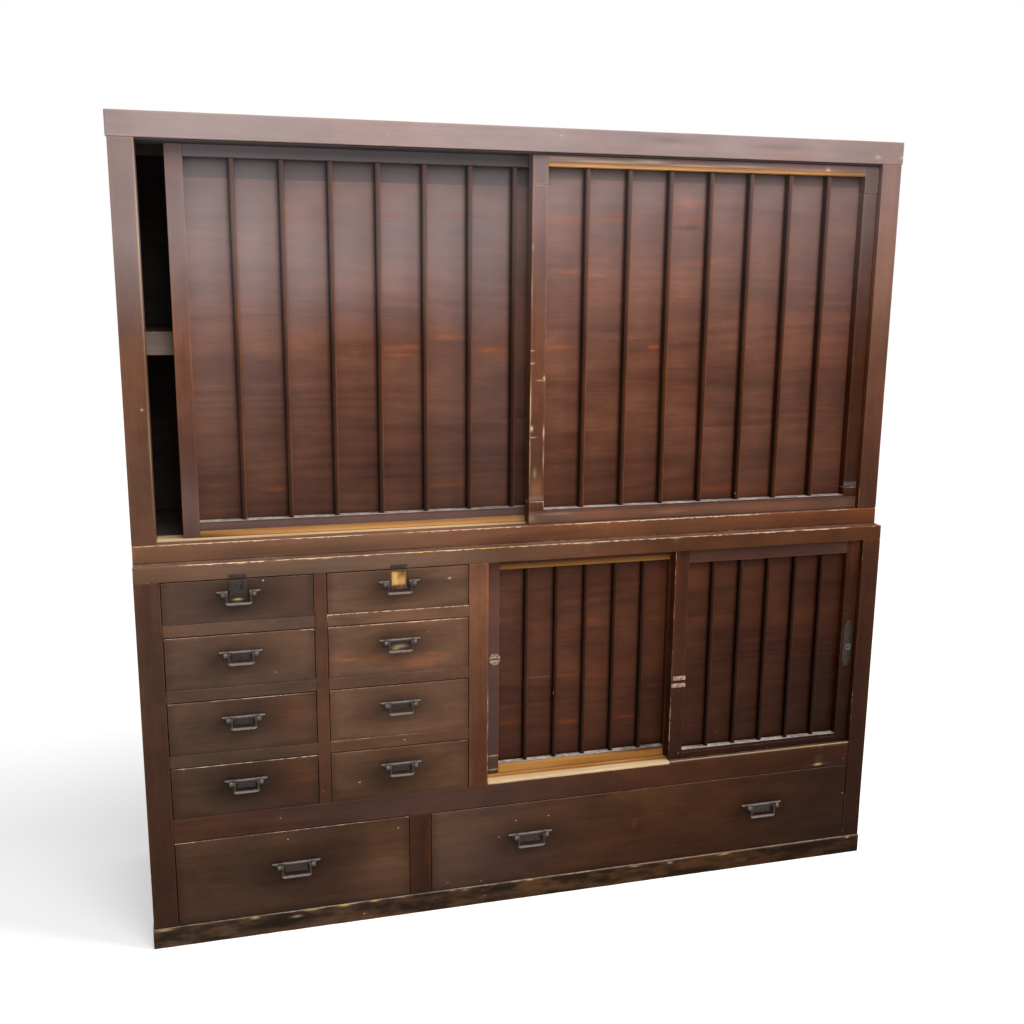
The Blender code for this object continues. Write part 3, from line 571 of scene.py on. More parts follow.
class MaterialShop:
    """Makes each finish's material once."""

    def __init__(self) -> None:
        """Start with no material made."""
        self.shelf = GroupShelf()
        self.made: dict[Enum, bpy.types.Material] = {}

    def get(self, finish: Enum) -> bpy.types.Material:
        """Give the material of a finish.

        Args:
            finish: a wood or a metal.

        Returns:
            Its material.
        """
        if finish not in self.made:
            material = bpy.data.materials.new(finish.value)
            material.use_nodes = True
            graph = Graph(material.node_tree)
            shader = material.node_tree.nodes["Principled BSDF"]
            if isinstance(finish, Wood):
                self.dress_wood(graph, shader, WOODS[finish])
            else:
                self.dress_metal(graph, shader, METALS[finish])
            self.made[finish] = material
        return self.made[finish]

    def dress_wood(self, graph: Graph, shader: bpy.types.Node, finish: WoodFinish) -> None:
        """Build old lacquer over wood.

        Args:
            graph: graph of the material.
            shader: its Principled shader.
            finish: colours and amounts.
        """
        grain = graph.group(self.shelf.get("grain"), Rings=finish.rings)
        wear = graph.group(self.shelf.get("wear"), Amount=finish.wear, Width=finish.width)
        patina = graph.group(self.shelf.get("patina"), Strength=finish.painted_sheen, Mottle=finish.mottle)
        dust_and_sheen = graph.group(self.shelf.get("dust_and_sheen"), Amount=finish.dust_and_sheen)
        scuffs = graph.group(self.shelf.get("scuffs"), Amount=finish.scuffs)

        share = graph.span(grain["Figure"], 0.0, 1.0, 0.58 - finish.figure / 2, 0.58 + finish.figure / 2)
        colour = graph.mix(share, finish.dark, finish.body)
        colour = graph.mix(graph.math("MULTIPLY", grain["Blotch"], 0.45), colour, finish.light)
        warm = graph.math("MULTIPLY", grain["Streak"], finish.warmth)
        warm = graph.math("MAXIMUM", warm, graph.math("MULTIPLY", wear["Rub"], 0.45))
        warm = graph.math("MAXIMUM", warm, graph.math("MULTIPLY", graph.reads("warm"), 0.62), clamp=True)
        colour = graph.mix(warm, colour, finish.glow)
        fibre = graph.span(grain["Fibre"], 0.25, 0.75, 0.86, 1.12)
        tone = graph.math("MULTIPLY", graph.math("ADD", graph.reads("tone"), 1.0), fibre)
        # Stains and painted shade darken the colour and weaken the painted sheen.
        stain = graph.math("SUBTRACT", 1.0, graph.math("MULTIPLY", graph.reads("stain"), 0.72), clamp=True)
        tone = graph.math("MULTIPLY", tone, stain)
        pore = graph.math("SUBTRACT", 1.0, graph.math("MULTIPLY", grain["Pore"], 0.30))
        colour = graph.scaled(colour, graph.math("MULTIPLY", tone, pore))
        # Painted shade towards the foot and the right, and the lacquer's smudges.
        if finish.lacquered:
            colour = graph.scaled(graph.stretch(colour, patina["Tint"]), patina["Smudge"])
        clear = graph.math("SUBTRACT", 1.0, graph.math("MULTIPLY", graph.reads("warm"), 0.55), clamp=True)
        # Painted sheen: pale grey reflection mixed over the colour, weaker where stained or shaded and where warm.
        painted_sheen = graph.math("ADD", patina["PaintedSheen"], graph.reads("haze"), clamp=True)
        painted_sheen = graph.math("MULTIPLY", graph.math("MULTIPLY", painted_sheen, stain), clear)
        colour = graph.mix(painted_sheen, colour, HAZE)
        colour = graph.mix(graph.math("MULTIPLY", scuffs["Mask"], 0.40), colour, finish.light)
        # Pale dust and painted light on faces that look up.
        colour = graph.mix(dust_and_sheen["Mask"], colour, DUST_AND_SHEEN)
        worn = graph.math("MAXIMUM", wear["Mask"], graph.math("MULTIPLY", scuffs["Speck"], 0.7))
        worn = graph.math("MAXIMUM", worn, graph.reads("bare"), clamp=True)
        yellow = graph.math("MAXIMUM", graph.span(grain["Streak"], 0.0, 0.35), graph.reads("bare"), clamp=True)
        bare = graph.mix(yellow, finish.bare, finish.chip)
        bare = graph.scaled(bare, graph.span(grain["Figure"], 0.0, 1.0, 0.72, 1.12))
        colour = graph.mix(worn, colour, bare)
        graph.plug(shader.inputs["Base Color"], colour)

        rough = graph.span(grain["Blotch"], 0.0, 1.0, finish.roughness - 0.05, finish.roughness + 0.10)
        rough = graph.math("ADD", rough, graph.math("MULTIPLY", worn, 0.22))
        rough = graph.math("ADD", rough, graph.math("MULTIPLY", dust_and_sheen["Mask"], 0.30), clamp=True)
        graph.plug(shader.inputs["Roughness"], rough)
        shader.inputs["Specular IOR Level"].default_value = finish.specular

        height = graph.math("MULTIPLY", grain["Fibre"], 0.30)
        height = graph.math("ADD", height, graph.math("MULTIPLY", grain["Figure"], 0.25))
        height = graph.math("SUBTRACT", height, graph.math("MULTIPLY", scuffs["Dent"], 0.9))
        height = graph.math("SUBTRACT", height, graph.math("MULTIPLY", worn, 0.6))
        bump = graph.add("Bump")
        bump.inputs["Strength"].default_value = 0.35
        bump.inputs["Distance"].default_value = 0.0006
        graph.plug(bump.inputs["Height"], height)
        graph.plug(shader.inputs["Normal"], bump.outputs[0])

    def dress_metal(self, graph: Graph, shader: bpy.types.Node, finish: MetalFinish) -> None:
        """Build old, handled metal.

        Args:
            graph: graph of the material.
            shader: its Principled shader.
            finish: colours and amounts.
        """
        dust_and_sheen = graph.group(self.shelf.get("dust_and_sheen"), Amount=0.45)
        place = graph.add("TexCoord").outputs["Object"]
        blotch = graph.span(graph.noise(place, 130.0, 4.0, 0.65), 0.42, 0.62)
        pits = graph.span(graph.noise(place, 900.0, 3.0, 0.6), 0.58, 0.72)
        grey = graph.span(graph.noise(place, 320.0, 3.0, 0.6), 0.40, 0.70, 0.75, 1.25)
        colour = graph.mix(blotch, finish.body, finish.rust)
        colour = graph.scaled(colour, grey)
        colour = graph.mix(graph.reads("edge"), colour, finish.edge)
        # Pale dust and painted light on faces that look up.
        colour = graph.mix(dust_and_sheen["Mask"], colour, finish.edge)
        colour = graph.scaled(colour, graph.math("SUBTRACT", 1.0, graph.math("MULTIPLY", pits, 0.5)))
        graph.plug(shader.inputs["Base Color"], colour)
        rough = graph.span(blotch, 0.0, 1.0, finish.roughness - 0.08, finish.roughness + 0.22)
        graph.plug(shader.inputs["Roughness"], rough)
        shader.inputs["Metallic"].default_value = finish.metallic
        bump = graph.add("Bump")
        bump.inputs["Strength"].default_value = 0.4
        bump.inputs["Distance"].default_value = 0.0004
        graph.plug(bump.inputs["Height"], graph.math("SUBTRACT", grey, pits))
        graph.plug(shader.inputs["Normal"], bump.outputs[0])


SHOP = MaterialShop()


@dataclass(frozen=True)
class Spot:
    """A soft patch on a board, placed in front view, showing one mark: stain and painted shade, bare wood, warmth,
    painted sheen.
    """

    mark: Mark
    x: float
    z: float
    reach_x: float
    reach_z: float
    strength: float = 1.0


@dataclass(frozen=True)
class Recess:
    """A chiselled seat in a board's front face."""

    x: Span
    z: Span
    depth: float
    wall: float = 0.0008


@dataclass
class Board:
    """One board of a piece: a box with worn, rounded arrises and its grain along one axis."""

    low: Point
    high: Point
    along: Axis = Axis.X
    wood: Wood = Wood.FRAME
    tone: float = 0.0
    wear: float = 0.5
    wear_top: float = 0.0
    wear_foot: float = 0.0
    wear_left: float = 0.0
    wear_right: float = 0.0
    shade_top: float = 0.0
    shade_reach: float = 0.012
    # Left and right of each slat in front, with a painted shadow on the board beside it, wider on the left.
    stripes: tuple[Span, ...] = ()
    radius: float = 0.0012
    step: float = 0.050
    cross: float = 0.080
    spots: tuple[Spot, ...] = ()
    recess: Recess | None = None

    def cuts(self, axis: int, radius: float) -> np.ndarray:
        """Places where the board's faces are divided along one axis.

        Args:
            axis: 0, 1 or 2.
            radius: rounding of the arrises.

        Returns:
            Sorted coordinates.
        """
        low, high = self.low[axis], self.high[axis]
        size = high - low
        near = [0.0, 0.3 * radius, radius]
        if size > 0.010:
            near.append(max(0.0032, 1.8 * radius))
        if size > 0.040:
            near.append(0.011)
        pitch = self.step if axis == self.along.value else self.cross
        count = max(1, math.ceil((size - 2 * near[-1]) / pitch))
        places = [low + reach for reach in near] + [high - reach for reach in near]
        places += list(np.linspace(low + near[-1], high - near[-1], count + 1))
        if self.recess and axis != 1:
            span = self.recess.x if axis == 0 else self.recess.z
            wall = self.recess.wall
            places += [span[0], span[0] + wall, span[1] - wall, span[1]]
            places += list(np.linspace(span[0] + wall, span[1] - wall, 9))
        if axis == 0:
            # Finer cuts for the painted shadow beside each slat.
            for left, right in self.stripes:
                places += [left - reach for reach in (0.0, 0.003, 0.006, 0.010, 0.016)]
                places += [right + reach for reach in (0.0, 0.0015, 0.004, 0.008)]
        places = np.unique(np.round([place for place in places if low <= place <= high], 6))
        places = places[np.insert(np.diff(places) > 0.00004, 0, True)]
        for spot in self.spots if axis != 1 else ():
            centre, reach = (spot.x, spot.reach_x) if axis == 0 else (spot.z, spot.reach_z)
            if reach > 0.05 or not self.carries(spot):
                continue
            for share in (-1.7, -1.0, -0.5, 0.0, 0.5, 1.0, 1.7):
                place = centre + reach * share
                if low < place < high and np.abs(places - place).min() > 0.0005:
                    places = np.append(places, place)
        return np.sort(places)

    def carries(self, spot: Spot) -> bool:
        """Whether a spot falls on this board.

        Args:
            spot: the spot.

        Returns:
            True where its reach meets the board's front.
        """
        beside = (self.low[0] - 2 * spot.reach_x < spot.x < self.high[0] + 2 * spot.reach_x)
        return beside and self.low[2] - 2 * spot.reach_z < spot.z < self.high[2] + 2 * spot.reach_z

    def surface(self, rng: np.random.Generator) -> dict[str, np.ndarray]:
        """Mesh the board.

        Args:
            rng: source of its unevenness.

        Returns:
            Points, quads and vertex values by name.
        """
        low, high = np.array(self.low), np.array(self.high)
        radius = min(self.radius, 0.42 * float((high - low).min()))
        cuts = [self.cuts(axis, radius) for axis in range(3)]
        points, quads = box_shell(cuts)
        gaps = np.sort(np.minimum(points - low, high - points), axis=1)
        rim = gaps[:, 1]

        along = self.along.value
        sides = [axis for axis in range(3) if axis != along]
        middle = (low + high) / 2
        quarter = (points[:, sides[0]] > middle[sides[0]]) * 2 + (points[:, sides[1]] > middle[sides[1]])
        knots = np.arange(low[along] - 0.05, high[along] + 0.08, 0.022)
        local = np.zeros(len(points))
        for number in range(4):
            worn = rng.random(len(knots)) ** 1.6
            run = np.interp(points[:, along], knots, worn)
            local = np.where(quarter == number, radius * (0.45 + 0.55 * run), local)
        local = local[:, None]
        inner = np.clip(points, low + local, high - local)
        reach = points - inner
        size = np.linalg.norm(reach, axis=1, keepdims=True)
        shaped = np.where(size > 1e-9, inner + reach / np.maximum(size, 1e-9) * local, points)

        order = [along, *sides]
        turn = rng.uniform(-0.5, 0.5)
        across = points[:, sides] - middle[sides]
        turned = np.stack([across[:, 0] * math.cos(turn) - across[:, 1] * math.sin(turn),
                           across[:, 0] * math.sin(turn) + across[:, 1] * math.cos(turn)], axis=1)
        grain = np.column_stack([points[:, order[0]], turned]) + rng.uniform(-30, 30, 3)

        marks = self.marks(points)
        if self.recess:
            shaped, marks["bare"] = self.chisel(points, shaped, marks["bare"], rng)
        count = len(points)
        return {"points": shaped, "quads": quads, "rim": rim, "grain": grain, **marks,
                "tone": np.full(count, self.tone), "wear": self.arris_wear(points)}

    def marks(self, points: np.ndarray) -> dict[str, np.ndarray]:
        """Stains with painted shade, bare, warm and painted-sheen places of the board.

        Args:
            points: points before rounding.

        Returns:
            Amounts by point, for each kind of mark.
        """
        found = {mark.value: np.zeros(len(points)) for mark in Mark}
        front = points[:, 1] < self.low[1] + 0.002
        for spot in self.spots:
            far = ((points[:, 0] - spot.x) / spot.reach_x) ** 2 + ((points[:, 2] - spot.z) / spot.reach_z) ** 2
            amount = spot.strength * np.exp(-far)
            if spot.mark is not Mark.STAIN:
                amount = amount * front
            found[spot.mark.value] = np.maximum(found[spot.mark.value], amount)
        stain = found[Mark.STAIN.value]
        # Painted shade along the top of the board, under what stands over it.
        below = (self.high[2] - points[:, 2]) / self.shade_reach
        stain = np.maximum(stain, self.shade_top * np.clip(1.0 - below, 0.0, 1.0))
        # Painted shadow beside each slat, wider and darker on its left.
        for left, right in self.stripes:
            before = points[:, 0] < (left + right) / 2
            reach = np.where(before, (left - points[:, 0]) / 0.0042, (points[:, 0] - right) / 0.0032)
            stain = np.maximum(stain, np.where(before, 0.85, 0.45) * np.exp(-np.maximum(reach, 0.0) ** 2))
        found[Mark.STAIN.value] = stain
        return found

    def arris_wear(self, points: np.ndarray) -> np.ndarray:
        """How worn the nearest arris of each point is.

        Args:
            points: points before rounding.

        Returns:
            Wear by point.
        """
        reach = 0.0075
        wear = np.full(len(points), self.wear)
        for gap, amount in ((self.high[2] - points[:, 2], self.wear_top),
                            (points[:, 2] - self.low[2], self.wear_foot),
                            (points[:, 0] - self.low[0], self.wear_left),
                            (self.high[0] - points[:, 0], self.wear_right)):
            wear = np.where((gap < reach) & (amount > 0), np.maximum(wear, amount), wear)
        return wear

    def chisel(self, points: np.ndarray, shaped: np.ndarray, bare: np.ndarray,
               rng: np.random.Generator) -> tuple[np.ndarray, np.ndarray]:
        """Sink the recess into the front face, with uneven tool marks.

        Args:
            points: points before rounding.
            shaped: points after rounding.
            bare: bare-wood values.
            rng: source of the tool marks.

        Returns:
            The new points and bare-wood values.
        """
        recess = self.recess
        front = points[:, 1] < self.low[1] + 1e-6
        edge = recess.wall * 0.5
        inside = front & (points[:, 0] > recess.x[0] + edge) & (points[:, 0] < recess.x[1] - edge)
        inside &= (points[:, 2] > recess.z[0] + edge) & (points[:, 2] < recess.z[1] - edge)
        shaped = shaped.copy()
        shaped[inside, 1] += recess.depth * rng.uniform(0.72, 1.0, int(inside.sum()))
        return shaped, np.where(inside, 1.0, bare)


def box_shell(cuts: list[np.ndarray]) -> tuple[np.ndarray, np.ndarray]:
    """Divided surface of a box.

    Args:
        cuts: coordinates of the dividing planes on each axis.

    Returns:
        Points and outward quads.
    """
    shape = tuple(len(places) for places in cuts)
    outside = np.zeros(shape, bool)
    for axis in range(3):
        np.moveaxis(outside, axis, 0)[[0, -1]] = True
    index = np.full(shape, -1)
    index[outside] = np.arange(outside.sum())
    where = np.argwhere(outside)
    points = np.column_stack([cuts[axis][where[:, axis]] for axis in range(3)])
    sheets = []
    for axis, flips in ((0, (True, False)), (1, (False, True)), (2, (True, False))):
        for end, flip in zip((0, -1), flips):
            grid = np.take(index, end, axis=axis)
            quad = np.stack([grid[:-1, :-1], grid[1:, :-1], grid[1:, 1:], grid[:-1, 1:]], axis=-1).reshape(-1, 4)
            sheets.append(quad[:, ::-1] if flip else quad)
    return points, np.concatenate(sheets)


@dataclass
class Piece:
    """A wooden piece glued up from boards, standing for one CAD node."""

    node: str
    body: str
    boards: list[Board] = field(default_factory=list)

    def add(self, low: Point, high: Point, along: Axis = Axis.X, wood: Wood = Wood.FRAME,
            **habits: object) -> Board:
        """Add a board.

        Args:
            low: lowest corner.
            high: highest corner.
            along: direction of its grain.
            wood: its finish.
            habits: other fields of the board.

        Returns:
            The board.
        """
        board = Board(tuple(low), tuple(high), along, wood, **habits)
        self.boards.append(board)
        return board

    def planks(self, low: Point, high: Point, across: Axis, count: int, along: Axis, wood: Wood,
               **habits: object) -> None:
        """Add a flat field of planks side by side.

        Args:
            low: lowest corner of the field.
            high: highest corner of the field.
            across: axis that the planks follow each other on.
            count: number of planks.
            along: direction of their grain.
            wood: their finish.
            habits: other fields of the boards; tone is varied from plank to plank.
        """
        rng = np.random.default_rng(len(self.node) * 31 + len(self.boards))
        shares = rng.uniform(0.75, 1.25, count)
        edges = np.concatenate([[0.0], np.cumsum(shares / shares.sum())])
        tone = habits.pop("tone", 0.0)
        axis = across.value
        length = high[axis] - low[axis]
        for start, end in zip(edges[:-1], edges[1:]):
            first, last = list(low), list(high)
            first[axis] = low[axis] + length * start
            last[axis] = low[axis] + length * end
            self.add(first, last, along, wood, tone=tone + rng.uniform(-0.09, 0.09), **habits)

    def build(self) -> bpy.types.Object:
        """Make the piece's object, with the vertex values that its finishes read.

        Returns:
            The object, riding on its body in the node's place.
        """
        rng = np.random.default_rng(sum(ord(letter) * (place + 3) for place, letter in enumerate(self.node)))
        woods = list(dict.fromkeys(board.wood for board in self.boards))
        meshed = [board.surface(rng) for board in self.boards]
        starts = np.cumsum([0] + [len(part["points"]) for part in meshed])
        points = np.concatenate([part["points"] for part in meshed])
        quads = np.concatenate([part["quads"] + start for part, start in zip(meshed, starts)])
        mesh = bpy.data.meshes.new(self.node)
        mesh.from_pydata(points.tolist(), [], quads.tolist())
        kinds = [np.full(len(part["quads"]), woods.index(board.wood)) for part, board in zip(meshed, self.boards)]
        mesh.polygons.foreach_set("material_index", np.concatenate(kinds).astype(np.int32))
        mesh.polygons.foreach_set("use_smooth", np.ones(len(quads), bool))
        for name in ("rim", "tone", "wear", *(mark.value for mark in Mark)):
            values = np.concatenate([part[name] for part in meshed]).astype(np.float32)
            mesh.attributes.new(name, "FLOAT", "POINT").data.foreach_set("value", values)
        grain = np.concatenate([part["grain"] for part in meshed]).astype(np.float32)
        mesh.attributes.new("grain", "FLOAT_VECTOR", "POINT").data.foreach_set("vector", grain.ravel())
        for wood in woods:
            mesh.materials.append(SHOP.get(wood))
        item = bpy.data.objects.new(f"dressed_{self.node}", mesh)
        return install(item, self.body, self.node)


def install(item: bpy.types.Object, body: str, *nodes: str) -> bpy.types.Object:
    """Link an object, let it ride on a body and stand for CAD nodes.

    Args:
        item: the object, in place at rest.
        body: body that it moves with.
        nodes: CAD nodes that it stands for.

    Returns:
        The object.
    """
    bpy.context.scene.collection.objects.link(item)
    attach(item, body)
    if nodes:
        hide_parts(*nodes)
    LOG.info("%s on %s: %d faces", item.name, body, len(item.data.polygons))
    return item


def bands(low: float, high: float, grooves: list[Span]) -> tuple[list[Span], list[Span]]:
    """Split a depth into ridges and the grooves between them.

    Args:
        low: front of the track.
        high: back of the track.
        grooves: front and back of each groove.

    Returns:
        The ridges and the grooves, front to back.
    """
    edges = [low, *(edge for groove in grooves for edge in groove), high]
    return [(edges[i], edges[i + 1]) for i in range(0, len(edges), 2)], list(grooves)


@dataclass
class Track:
    """Two door grooves of one chest, worked out from the doors that run in them."""

    front_door: str
    rear_door: str
    tongue: float = 0.010
    inset: float = 0.004
    play: float = 0.0006

    def grooves(self) -> list[Span]:
        """Depth limits of the front and the rear groove."""
        limits = []
        for door in (self.front_door, self.rear_door):
            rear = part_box(f"{door}_lattice")[1].y - self.inset
            limits.append((rear - self.tongue - self.play, rear + self.play))
        return limits


@dataclass
class UpperCase:
    """Floor, sides, back, head track, shelf and top of the upper chest."""

    track: Track
    rim: float = 0.023
    lid: float = 0.016
    top_board: float = 0.022
    groove_depth: float = 0.004
    head_groove: float = 0.014
    lip_rise: float = 0.0020
    shelf_board: float = 0.012
    shelf_rail: float = 0.018
    post_back: float = field(init=False)
    post_edge: float = field(init=False)
    side_inner: float = field(init=False)

    def __post_init__(self) -> None:
        """Read the planes that its pieces share from the CAD boxes."""
        low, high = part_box("upper_head_track")
        self.post_back = high.y
        self.post_edge = high.x + 0.0003
        self.side_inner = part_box("upper_back")[1].x + 0.0003

    def build(self) -> None:
        """Build every piece of the upper carcase."""
        self.floor()
        self.sides()
        self.back()
        self.top()
        self.head()
        self.shelf()

    def floor(self) -> None:
        """The sill rail with its two grooves, the floor planks and the rims under them."""
        low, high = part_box("upper_floor")
        piece = Piece("upper_floor", "carcase")
        ridges, grooves = bands(low.y, self.post_back, self.track.grooves())
        front = ridges[0]
        paler = (Spot(Mark.BARE, 0.35, low.z + 0.020, 0.60, 0.060, 0.025), Spot(Mark.BARE, -0.78, low.z + 0.020, 0.30, 0.060, 0.11),
                 Spot(Mark.BARE, 0.110, high.z, 0.014, 0.0022), Spot(Mark.BARE, 0.174, high.z, 0.006, 0.0022),
                 Spot(Mark.BARE, -0.42, low.z + 0.020, 0.40, 0.060, 0.085))
        piece.add((low.x, front[0], low.z), (high.x, front[1], high.z), wear=0.5, wear_top=1.9, wear_foot=1.0,
                  radius=0.0020, step=0.016, tone=0.34, spots=paler)
        edge = self.post_edge
        for depth in ridges[1:]:
            piece.add((-edge, depth[0], low.z), (edge, depth[1], high.z), wood=Wood.SILL)
        for depth in grooves:
            piece.add((-edge, depth[0], low.z), (edge, depth[1], high.z - self.groove_depth), wood=Wood.SILL)
        for start, end in ((low.x, -edge), (edge, high.x)):
            piece.add((start, front[1], low.z), (end, self.post_back, high.z), Axis.Y)
        self.tray_rims(piece, low, high, (low.z, high.z))
        piece.planks((low.x + self.rim, self.post_back, high.z - self.lid),
                     (high.x - self.rim, high.y - self.rim, high.z), Axis.Y, 3, Axis.X, Wood.DIM)
        piece.build()

    def tray_rims(self, piece: Piece, low: Vector, high: Vector, z: Span, start: float | None = None) -> None:
        """Side and back rims of a floor or a top.

        Args:
            piece: piece to add them to.
            low: lowest corner of the piece.
            high: highest corner of the piece.
            z: heights of the rims.
            start: front end of the side rims, behind the posts when left out.
        """
        start = self.post_back if start is None else start
        for left in (low.x, high.x - self.rim):
            piece.add((left, start, z[0]), (left + self.rim, high.y, z[1]), Axis.Y)
        piece.add((low.x + self.rim, high.y - self.rim, z[0]), (high.x - self.rim, high.y, z[1]))

    def sides(self) -> None:
        """A front post and three upright planks on each side."""
        rubbed = (Spot(Mark.BARE, -0.8300, 1.51, 0.0020, 0.17, 0.45), Spot(Mark.BARE, -0.8300, 1.13, 0.0020, 0.10, 0.35),
                  Spot(Mark.BARE, -0.842, 1.196, 0.0025, 0.0020, 0.9))
        build_side("upper_left_side", self.post_edge, self.post_back, self.side_inner, spots=rubbed)
        low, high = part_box("upper_right_side")
        shaded = (Spot(Mark.STAIN, high.x, low.z, 0.50, 0.26, 0.50), Spot(Mark.WARM, high.x - 0.020, 1.58, 0.030, 0.12, 0.30),
                  Spot(Mark.HAZE, high.x - 0.020, 1.35, 0.060, 0.42, 0.035))
        build_side("upper_right_side", self.post_edge, self.post_back, self.side_inner, tone=0.25, spots=shaded)

    def back(self) -> None:
        """Rough planks across the back, darkened with painted shade on the inside."""
        low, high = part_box("upper_back")
        piece = Piece("upper_back", "carcase")
        skin = low.y + (high.y - low.y) * 0.4
        piece.planks(low, (high.x, skin, high.z), Axis.Z, 5, Axis.X, Wood.DIM)
        piece.planks((low.x, skin, low.z), high, Axis.Z, 5, Axis.X, Wood.INNER)
        piece.build()

    def top(self) -> None:
        """The front rail, the rims and the planks of the top."""
        low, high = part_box("upper_top")
        rail_back = low.y + 0.0214
        piece = Piece("upper_top", "carcase")
        marks = (Spot(Mark.BARE, 0.814, 1.7436, 0.0060, 0.0035, 0.7), Spot(Mark.BARE, 0.877, 1.7440, 0.0040, 0.0030, 0.6),
                 Spot(Mark.STAIN, 0.300, 1.762, 0.050, 0.008, 0.35), Spot(Mark.STAIN, 0.560, 1.756, 0.060, 0.007, 0.35),
                 Spot(Mark.WARM, 0.600, 1.738, 0.070, 0.007, 0.35), Spot(Mark.WARM, 0.180, 1.740, 0.050, 0.006, 0.25),
                 Spot(Mark.HAZE, 0.550, 1.755, 0.420, 0.050, 0.070))
        piece.add((low.x, low.y, low.z), (high.x, rail_back, high.z), wood=Wood.RAIL, radius=0.0028, step=0.020,
                  cross=0.008, spots=marks)
        self.tray_rims(piece, Vector((low.x + 0.003, low.y, low.z)), Vector((high.x - 0.003, high.y, high.z)),
                       (low.z, high.z - self.top_board), rail_back)
        piece.planks((low.x, rail_back, high.z - self.top_board), high, Axis.Y, 3, Axis.X, Wood.RAIL)
        piece.build()

    def head(self) -> None:
        """The lip and the grooved track over the doors, near-black as painted shade under the top."""
        low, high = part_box("upper_head_track")
        piece = Piece("upper_head_track", "carcase")
        ridges, grooves = bands(low.y, high.y, self.track.grooves())
        lip_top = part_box("upper_top")[0].z - 0.0003
        rail_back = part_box("upper_top")[0].y + 0.0217
        foot = low.z + self.lip_rise
        piece.add((low.x, low.y, foot), (high.x, ridges[0][1], lip_top), wood=Wood.TRACK)
        piece.add((low.x, rail_back, lip_top), (high.x, ridges[0][1], high.z), wood=Wood.TRACK)
        for depth in ridges[1:]:
            piece.add((low.x, depth[0], foot), (high.x, depth[1], high.z), wood=Wood.TRACK)
        for depth in grooves:
            piece.add((low.x, depth[0], low.z + self.head_groove), (high.x, depth[1], high.z), wood=Wood.TRACK)
        piece.build()

    def shelf(self) -> None:
        """The shelf's front rail and planks."""
        low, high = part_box("upper_shelf")
        piece = Piece("upper_shelf", "carcase")
        piece.add(low, (high.x, low.y + self.shelf_rail, high.z), wood=Wood.SHELF, wear_top=1.2)
        piece.planks((low.x, low.y + self.shelf_rail, high.z - self.shelf_board), high, Axis.Y, 2, Axis.X,
                     Wood.DIM)
        piece.build()


def build_side(node: str, post_edge: float, post_back: float, panel_inner: float, tone: float = 0.0,
               spots: tuple[Spot, ...] = ()) -> None:
    """A side of either chest: its front post and three upright planks.

    Args:
        node: CAD node of the side.
        post_edge: distance of the post's inner face from the middle.
        post_back: back plane of the post.
        panel_inner: distance of the planks' inner face from the middle.
        tone: shade of the post.
        spots: marks on the post.
    """
    low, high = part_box(node)
    piece = Piece(node, "carcase")
    sign = -1 if low.x < 0 else 1
    outer = low.x if sign < 0 else high.x
    post = sorted((outer, sign * post_edge))
    wall = sorted((outer, sign * panel_inner))
    piece.add((post[0], low.y, low.z), (post[1], post_back, high.z), Axis.Z, radius=0.0018, step=0.030,
              cross=0.012, tone=tone, spots=spots)
    piece.planks((wall[0], post_back, low.z), (wall[1], high.y, high.z), Axis.Y, 3, Axis.Z, Wood.FRAME,
                 radius=0.0007)
    piece.build()


